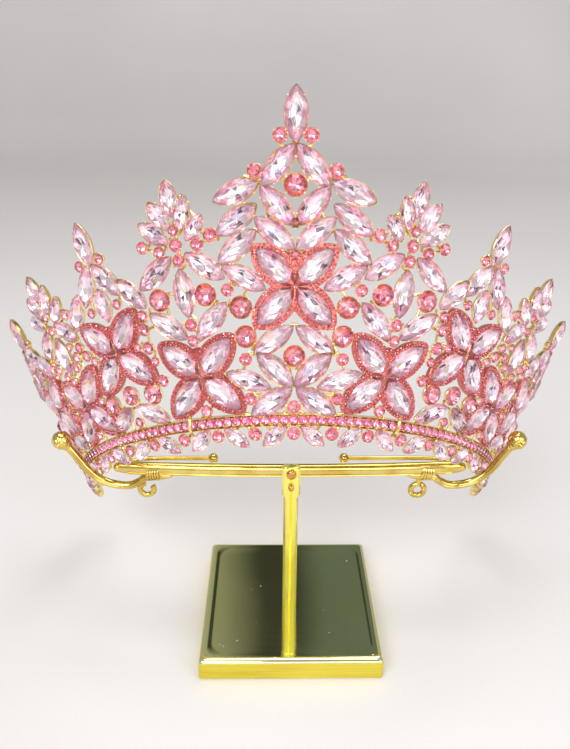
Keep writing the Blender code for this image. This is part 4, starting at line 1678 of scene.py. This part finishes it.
@dataclass
class HookedBar:
    """The clamped bar with its hooks, collars, loops and stays."""

    bar_depth: float = 3.8
    bar_height: float = 4.8
    tube_radius: float = 1.45
    # share of the tube's radius at its start, and how much it grows from point to point
    tube_start: Point = (0.35, 0.09)
    ball_radius: float = 3.3
    bar_end: float = 1.7
    loop_radius: float = 2.4
    loop_wire: float = 1.0
    stay_radius: float = 0.8
    stay_ball: float = 1.8
    # ridges along the bar's front: height and depth of their middles
    ridges: tuple = ((1.25, -1.62), (-1.35, -1.55))
    ridge_radius: float = 0.34
    # points of the bar's line that a ridge leaves free at each end
    ridge_from: int = 9
    # paths above the plate's top, for the right side
    bar_path: tuple = (
        (60.3, 8.2, 50.9), (59.3, 8.0, 50.95), (52.0, 6.9, 51.3), (40.0, 5.9, 51.5),
        (24.0, 5.0, 51.7), (8.0, 4.6, 51.8),
    )
    bar_size: tuple = (0.6, 0.85, 1.0, 1.0, 1.0, 1.0)
    hook_path: tuple = (
        (41.0, 6.0, 48.9), (43.5, 6.2, 48.7), (50.0, 6.8, 47.9), (52.6, 7.1, 45.9),
        (56.0, 7.4, 44.0), (60.0, 7.8, 43.7), (64.6, 8.0, 44.8), (68.4, 8.0, 47.3),
        (71.4, 8.1, 50.6), (73.7, 8.3, 54.2), (75.9, 8.6, 57.4), (77.6, 8.9, 59.6),
    )
    hook_ball: tuple = (79.0, 9.0, 61.2)
    collar_path: tuple = ((45.2, 6.3, 50.2), (49.6, 6.7, 49.6))
    # wire of the collars: turns, radius, and the coil's reach across and deep
    collar_wire: tuple = (5, 0.44, 2.75, 2.2)
    collar_core: tuple = (2.0, 2.5, 2.5, 2.5, 2.0)
    solder_lump: float = 0.95
    seam_radius: float = 0.16
    # radii along the swollen ring at a hook's end, 0.5 mm apart
    end_ring: tuple = (1.5, 1.95, 2.1, 2.1, 1.95, 1.5)
    # the ball's seams: how many and how deep, then the dimple's radius and depth
    ball_marks: tuple = (9.0, 0.045, 0.26, 0.35)
    loop_centres: tuple = ((-50.6, 7.0, 42.6), (45.2, 6.6, 42.4))
    loop_spans: Point = (290.0, 330.0)
    loop_stem: tuple = ((45.2, 6.6, 44.4), (45.6, 6.6, 48.4))
    stay_paths: tuple = (
        ((-27.4, 13.0, 51.5), (-46.0, 13.0, 51.5), (-54.0, 12.2, 51.4), (-58.4, 8.6, 51.2)),
        ((19.2, 13.0, 51.5), (46.0, 13.0, 51.5), (54.0, 12.2, 51.4), (58.4, 8.6, 51.2)),
    )

    @staticmethod
    def lifted(path: tuple, sign: float = 1.0) -> list:
        """Set a path on the plate's top, mirrored if the sign is negative."""
        return [(sign * x, y, z + PLATE_TOP) for x, y, z in path]

    def build(self) -> None:
        """Build every part of the bar."""
        self.bar()
        for sign, side in ((1.0, "right"), (-1.0, "left")):
            self.hook(sign, side)
            self.collar(sign, side)
        self.loops()
        self.stays()

    def bar(self) -> None:
        """Sweep the oval bar with its tapered ends."""
        piece = Piece("clamped_bar")
        right = self.lifted(self.bar_path)
        left = [(-x, y, z) for x, y, z in right]
        sizes = list(self.bar_size) + list(reversed(self.bar_size))
        line = smooth_path(right + list(reversed(left)), 6)
        radii = []
        for k in range(len(line)):
            place = k / 6.0
            low = min(int(place), len(sizes) - 2)
            share = place - low
            size = sizes[low] * (1.0 - share) + sizes[low + 1] * share
            radii.append(size * self.bar_height / 2.0)
        piece.take_body(strand(line, radii, 24, self.bar_depth / self.bar_height))
        for rise, deep in self.ridges:
            ridge = [p + Vector((0.0, deep, rise)) for p in line[self.ridge_from:-self.ridge_from]]
            piece.take_body(strand(ridge, [self.ridge_radius] * len(ridge), 8))
        for end in (line[2], line[-3]):
            piece.ball(self.bar_end, end)
        piece.finish(*AS_BAR)

    def hook(self, sign: float, side: str) -> None:
        """Sweep one hook with its seam, its end ring and its ball."""
        piece = Piece(f"hook_{side}")
        line = smooth_path(self.lifted(self.hook_path, sign), 6)
        start, growth = self.tube_start
        radii = [self.tube_radius * min(1.0, start + growth * k) for k in range(len(line))]
        piece.take_body(strand(line, radii, 20))
        seam = [Vector(p) + Vector((0.0, -self.tube_radius * 0.96, 0.0)) for p in line[6:-2]]
        piece.take_body(strand(seam, [self.seam_radius] * len(seam), 6))
        last = Vector(line[-2])
        along = (Vector(line[-1]) - last).normalized()
        rings = [last + along * (0.5 * k - 1.2) for k in range(len(self.end_ring))]
        piece.take_body(strand(rings, self.end_ring, 20))
        piece.take_body(self.ball(self.lifted((self.hook_ball,), sign)[0]))
        piece.finish(*AS_BAR)

    def ball(self, centre: tuple) -> bmesh.types.BMesh:
        """Shape a ball with a dimpled hole and seams that run out from it."""
        body = bmesh.new()
        bmesh.ops.create_uvsphere(body, u_segments=36, v_segments=24, radius=1.0)
        seams, seam_depth, hole, hole_depth = self.ball_marks
        for corner in body.verts:
            x, y, z = corner.co
            reach = math.hypot(x, y)
            seam = max(0.0, math.cos(seams * math.atan2(y, x))) ** 6 * min(1.0, reach * 2.0)
            dent = max(0.0, 1.0 - reach / hole)
            corner.co = Vector((x, y, z * (1.0 - hole_depth * dent))) * (1.0 - seam_depth * seam)
        turn = Matrix.Rotation(math.radians(90.0), 4, "X")
        spot = Matrix.Translation(Vector(centre) * MM)
        body.transform(spot @ turn @ Matrix.Scale(self.ball_radius * MM, 4))
        bmesh.ops.recalc_face_normals(body, faces=body.faces[:])
        return body

    def collar(self, sign: float, side: str) -> None:
        """Wind wire round the bar and the hook where they meet."""
        piece = Piece(f"collar_{side}")
        start, end = [Vector(p) for p in self.lifted(self.collar_path, sign)]
        along = (end - start).normalized()
        across = along.cross(Vector((0.0, 1.0, 0.0))).normalized()
        deep = across.cross(along).normalized()
        turns, wire, wide, thick = self.collar_wire
        path = []
        for k in range(turns * 14 + 1):
            angle = 2.0 * math.pi * k / 14.0
            ring = across * math.cos(angle) * wide + deep * math.sin(angle) * thick
            path.append(start + (end - start) * (k / (turns * 14.0)) + ring)
        piece.take_body(strand(path, [wire] * len(path), 8, 1.0, tuple(along)))
        core = [start + (end - start) * (0.05 + 0.9 * k / 4.0) for k in range(5)]
        piece.take_body(strand(core, self.collar_core, 20, 0.86))
        for k in range(3):
            angle = 0.7 + 1.9 * k
            lump = start + (end - start) * (0.25 + 0.25 * k)
            lump += across * math.cos(angle) * 2.4 - deep * abs(math.sin(angle)) * 1.6
            piece.bead(self.solder_lump * MM, Matrix.Translation(lump * MM), 2)
        piece.finish(*AS_BAR)

    def loops(self) -> None:
        """Bend a wire loop under each collar, one of them left open."""
        piece = Piece("wire_loops")
        for (x, y, z), span in zip(self.loop_centres, self.loop_spans):
            path = []
            for k in range(41):
                angle = math.radians(100.0 + span * k / 40.0)
                path.append((
                    x + self.loop_radius * math.cos(angle), y,
                    z + PLATE_TOP + self.loop_radius * math.sin(angle),
                ))
            piece.take_body(strand(path, [self.loop_wire] * 41, 14))
        piece.take_body(strand(self.lifted(self.loop_stem), [self.loop_wire] * 2, 14))
        piece.finish(*AS_BAR)

    def stays(self) -> None:
        """Bend the thin stays behind the bar and set a small ball on each."""
        piece = Piece("rear_stays")
        for path in self.stay_paths:
            line = smooth_path(self.lifted(path), 8)
            piece.take_body(strand(line, [self.stay_radius] * len(line), 12))
            piece.ball(self.stay_ball, line[0])
        piece.finish(*AS_BAR)


@dataclass
class ClampPost:
    """The upright with its clamp head and two screws."""

    width: float = 5.0
    depth: float = 4.4
    head_width: float = 6.2
    head_height: float = 10.8
    height: float = 57.0
    soft: float = 0.8
    groove: float = 0.4
    # how far the foot is sunk below the plate's rim, to the mirror
    foot: float = 0.13
    # how far the head's front stands before the upright, and the screws before the head
    forward: float = 0.3
    screw_gap: float = 0.3
    screw_height: float = 0.9
    screw_shares: tuple = (0.6, 1.0, 1.0, 0.86, 0.55)
    # clamp screws: name, level above the plate's top, diameter
    screws: tuple = (("screw_upper", 54.7, 3.4), ("screw_lower", 49.4, 2.0))

    def build(self) -> None:
        """Build the upright and its screws."""
        self.upright()
        for name, level, diameter in self.screws:
            self.screw(name, level, diameter)

    def section(self, half: float, low: float, high: float) -> list:
        """Draw the square section with soft corners and a groove in front and behind."""
        soft = self.soft
        notch = self.groove
        front = [(-half, low + soft), (-half + soft, low), (-notch, low), (0.0, low + notch)]
        front += [(notch, low), (half - soft, low), (half, low + soft)]
        rear = [(half, high - soft), (half - soft, high), (notch, high), (0.0, high - notch)]
        rear += [(-notch, high), (-half + soft, high), (-half, high - soft)]
        return front + rear

    def upright(self) -> None:
        """Raise the upright from the plate to the clamp head."""
        piece = Piece("clamp_post")
        half = self.width / 2.0
        deep = self.depth / 2.0
        head = self.head_width / 2.0
        top = PLATE_TOP + self.height
        neck = top - self.head_height
        front = -deep - self.forward
        shaft = self.section(half, -deep, deep)
        clamp = self.section(head, front, deep)
        stages = (
            (shaft, PLATE_TOP - self.foot), (shaft, neck - 1.2), (clamp, neck), (clamp, top - 1.8),
            (self.section(head, front, 0.9), top - 0.5),
            (self.section(head - 0.5, front + 0.4, 0.2), top),
        )
        sides = len(shaft)
        body = column(sides, len(stages))
        for corner in body.verts:
            points, z = stages[round(corner.co.z)]
            n = round(math.atan2(corner.co.x, corner.co.y) / (2.0 * math.pi) * sides) % sides
            corner.co = Vector((points[n][0], points[n][1], z)) * MM
        bmesh.ops.recalc_face_normals(body, faces=body.faces[:])
        piece.take_body(body)
        piece.finish((POST_GOLD,), "gold_plate", True, ("stand_post",))

    def screw(self, name: str, level: float, diameter: float) -> None:
        """Turn a domed screw head."""
        piece = Piece(f"{name}_head")
        face = -self.depth / 2.0 - self.forward - self.screw_gap
        radius = diameter / 2.0
        path = [(0.0, face + 0.25, level + PLATE_TOP)]
        path += [(0.0, face - d, level + PLATE_TOP) for d in (0.0, 0.4, 0.7, self.screw_height)]
        radii = [radius * share for share in self.screw_shares]
        piece.take_body(strand(path, radii, 24, 1.0, (1.0, 0.0, 0.0)))
        piece.finish((KNOB_GOLD,), "gold_plate", True, (name,))


@dataclass
class FootPlate:
    """The square foot plate, brushed at its sides and polished on top."""

    side: float = 62.0
    corner_points: int = 8
    # faces that look up at least this much are polished
    mirror_from: float = 0.3
    # rings from the underside to the sunk mirror: inset, level, corner radius
    rings: tuple = (
        (0.4, 0.0, 1.0), (0.0, 0.4, 1.2), (0.0, 6.3, 1.2), (0.1, 6.9, 1.2), (0.4, 7.45, 1.3),
        (0.9, 7.82, 1.5), (1.6, 8.0, 1.8), (2.7, 7.99, 3.6), (3.3, 7.93, 4.4), (3.7, 7.88, 5.0),
        (4.0, 7.87, 5.4),
    )

    def outline(self, inset: float, radius: float) -> list[Point]:
        """Draw a square with round corners, clockwise from the middle of its far side."""
        reach = self.side / 2.0 - inset - radius
        points = []
        for across, along, start in ((1, 1, 0.0), (1, -1, 90.0), (-1, -1, 180.0), (-1, 1, 270.0)):
            for k in range(self.corner_points):
                angle = math.radians(start + 90.0 * k / (self.corner_points - 1))
                x = across * reach + radius * math.sin(angle)
                y = along * reach + radius * math.cos(angle)
                points.append((x, y))
        return points

    def build(self) -> None:
        """Raise the plate ring by ring."""
        sides = 4 * self.corner_points
        outlines = [self.outline(inset, radius) for inset, _, radius in self.rings]
        body = column(sides, len(self.rings))
        for corner in body.verts:
            level = round(corner.co.z)
            n = round(math.atan2(corner.co.x, corner.co.y) / (2.0 * math.pi) * sides) % sides
            corner.co = Vector((*outlines[level][n], self.rings[level][1])) * MM
        bmesh.ops.recalc_face_normals(body, faces=body.faces[:])
        for face in body.faces:
            face.material_index = 1 if face.normal.z > self.mirror_from else 0
        piece = Piece("foot_plate")
        piece.take_body(body)
        piece.finish((BRUSHED, MIRROR), "gold_plate", True, ("stand_plate",))


@dataclass
class Studio:
    """Pale floor, soft lights and the camera."""

    eye: tuple = (-0.00666, -0.20378, 0.19303)
    yaw: float = -1.19
    pitch: float = 24.89
    roll: float = 0.59
    lens: float = 34.03
    card_place: tuple = (0.03, 0.95, 0.88)
    card_size: Point = (0.8, 0.8)
    # the paper: half width, near edge, length, where it starts to rise, and its bend
    paper: tuple = (3.0, -1.6, 4.4, 1.2, 0.35)
    # grey room: colour and strength
    room: tuple = ((0.67, 0.635, 0.64, 1.0), 0.7)
    # lights: name, place, aim, width, height, watts, colour
    lights: tuple = (
        ("key_light", (-0.45, -0.75, 0.85), (0.0, 0.0, 0.09), 0.7, 0.5, 6.5, (1.0, 0.97, 0.98)),
        ("front_light", (0.1, -1.4, 0.5), (0.0, 0.0, 0.09), 0.9, 0.5, 3.6, (1.0, 0.98, 0.98)),
        ("fill_light", (0.65, -0.6, 0.5), (0.0, 0.0, 0.09), 0.5, 0.7, 2.6, (0.97, 0.97, 1.0)),
        ("top_light", (0.0, 0.1, 1.0), (0.0, 0.02, 0.08), 0.6, 0.4, 3.0, (1.0, 1.0, 1.0)),
        ("rim_light", (0.5, 0.8, 1.4), (0.0, 0.0, 0.1), 0.6, 0.4, 3.5, (1.0, 1.0, 1.0)),
    )

    def build(self) -> None:
        """Build the floor, the lights and the camera."""
        self.floor()
        self.card()
        self.light()
        self.camera()

    def floor(self) -> None:
        """Roll out seamless paper that rises far behind the stand."""
        half, near, length, start, bend = self.paper
        body = bmesh.new()
        bmesh.ops.create_grid(body, x_segments=1, y_segments=24, size=1.0)
        for corner in body.verts:
            x, y, _ = corner.co
            run = near + length * (y + 1.0) / 2.0
            rise = max(0.0, run - start)
            reach = min(run, start + bend * (1.0 - math.exp(-rise / bend)))
            corner.co = (x * half, reach, 1.3 * rise ** 1.5)
        bmesh.ops.recalc_face_normals(body, faces=body.faces[:])
        if body.faces[0].normal.z < 0.0:
            bmesh.ops.reverse_faces(body, faces=body.faces[:])
        for face in body.faces:
            face.smooth = True
        self.stand(body, "studio_floor", StudioPaper())

    @staticmethod
    def stand(body: bmesh.types.BMesh, name: str, finish: Finish) -> None:
        """Put a thing of the studio in the scene, which isn't part of the tiara."""
        mesh = as_mesh(body, name)
        mesh.materials.append(finish.material())
        made = bpy.data.objects.new(name, mesh)
        bpy.context.scene.collection.objects.link(made)

    def card(self) -> None:
        """Hang a dark card high behind the stand, where only the mirror sees it."""
        body = bmesh.new()
        middle = Vector(self.card_place)
        lean = (Vector((0.0, 0.0, 0.0)) - middle).to_track_quat("Z", "Y").to_matrix().to_4x4()
        size = Matrix.Diagonal((*self.card_size, 1.0, 1.0))
        bmesh.ops.create_grid(
            body, x_segments=1, y_segments=1, size=0.5,
            matrix=Matrix.Translation(middle) @ lean @ size,
        )
        self.stand(body, "dark_card", DarkCard())

    def light(self) -> None:
        """Hang the soft lights and set a grey room."""
        for name, place, aim, width, height, watts, colour in self.lights:
            data = bpy.data.lights.new(name, "AREA")
            data.shape = "RECTANGLE"
            data.size = width
            data.size_y = height
            data.energy = watts
            data.color = colour
            lamp = bpy.data.objects.new(name, data)
            lamp.location = place
            away = Vector(place) - Vector(aim)
            lamp.rotation_euler = away.to_track_quat("Z", "Y").to_euler()
            bpy.context.scene.collection.objects.link(lamp)
        world = bpy.data.worlds.new("studio_room")
        world.use_nodes = True
        room = world.node_tree.nodes["Background"]
        room.inputs["Color"].default_value = self.room[0]
        room.inputs["Strength"].default_value = self.room[1]
        bpy.context.scene.world = world

    def camera(self) -> None:
        """Stand the camera where the picture was taken."""
        yaw = math.radians(self.yaw)
        pitch = math.radians(self.pitch)
        roll = math.radians(self.roll)
        right = Vector((math.cos(yaw), math.sin(yaw), 0.0))
        ahead = Vector((-math.sin(yaw), math.cos(yaw), 0.0))
        sight = ahead * math.cos(pitch) - Vector((0.0, 0.0, 1.0)) * math.sin(pitch)
        up = Vector((0.0, 0.0, 1.0)) * math.cos(pitch) + ahead * math.sin(pitch)
        x_axis = right * math.cos(roll) + up * math.sin(roll)
        y_axis = up * math.cos(roll) - right * math.sin(roll)
        data = bpy.data.cameras.new("picture_camera")
        data.lens = self.lens
        data.sensor_fit = "AUTO"
        data.sensor_width = 36.0
        data.clip_start = 0.01
        data.clip_end = 20.0
        made = bpy.data.objects.new("picture_camera", data)
        rows = [[x_axis[k], y_axis[k], -sight[k], self.eye[k]] for k in range(3)]
        made.matrix_world = Matrix((*rows, (0.0, 0.0, 0.0, 1.0)))
        bpy.context.scene.collection.objects.link(made)
        bpy.context.scene.camera = made
        bpy.context.scene.view_settings.view_transform = "Standard"


def main() -> None:
    """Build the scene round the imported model."""
    logging.basicConfig(level=logging.INFO, format="%(message)s")
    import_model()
    Studio().build()
    stones = StoneChart().stones()
    stones += GapRounds().fill(stones)
    StoneCups(stones).build()
    TieWires(stones).build()
    Halos(stones).build()
    BandStrip().build()
    CutStones(stones).build()
    HookedBar().build()
    ClampPost().build()
    FootPlate().build()


if __name__ == "__main__":
    main()
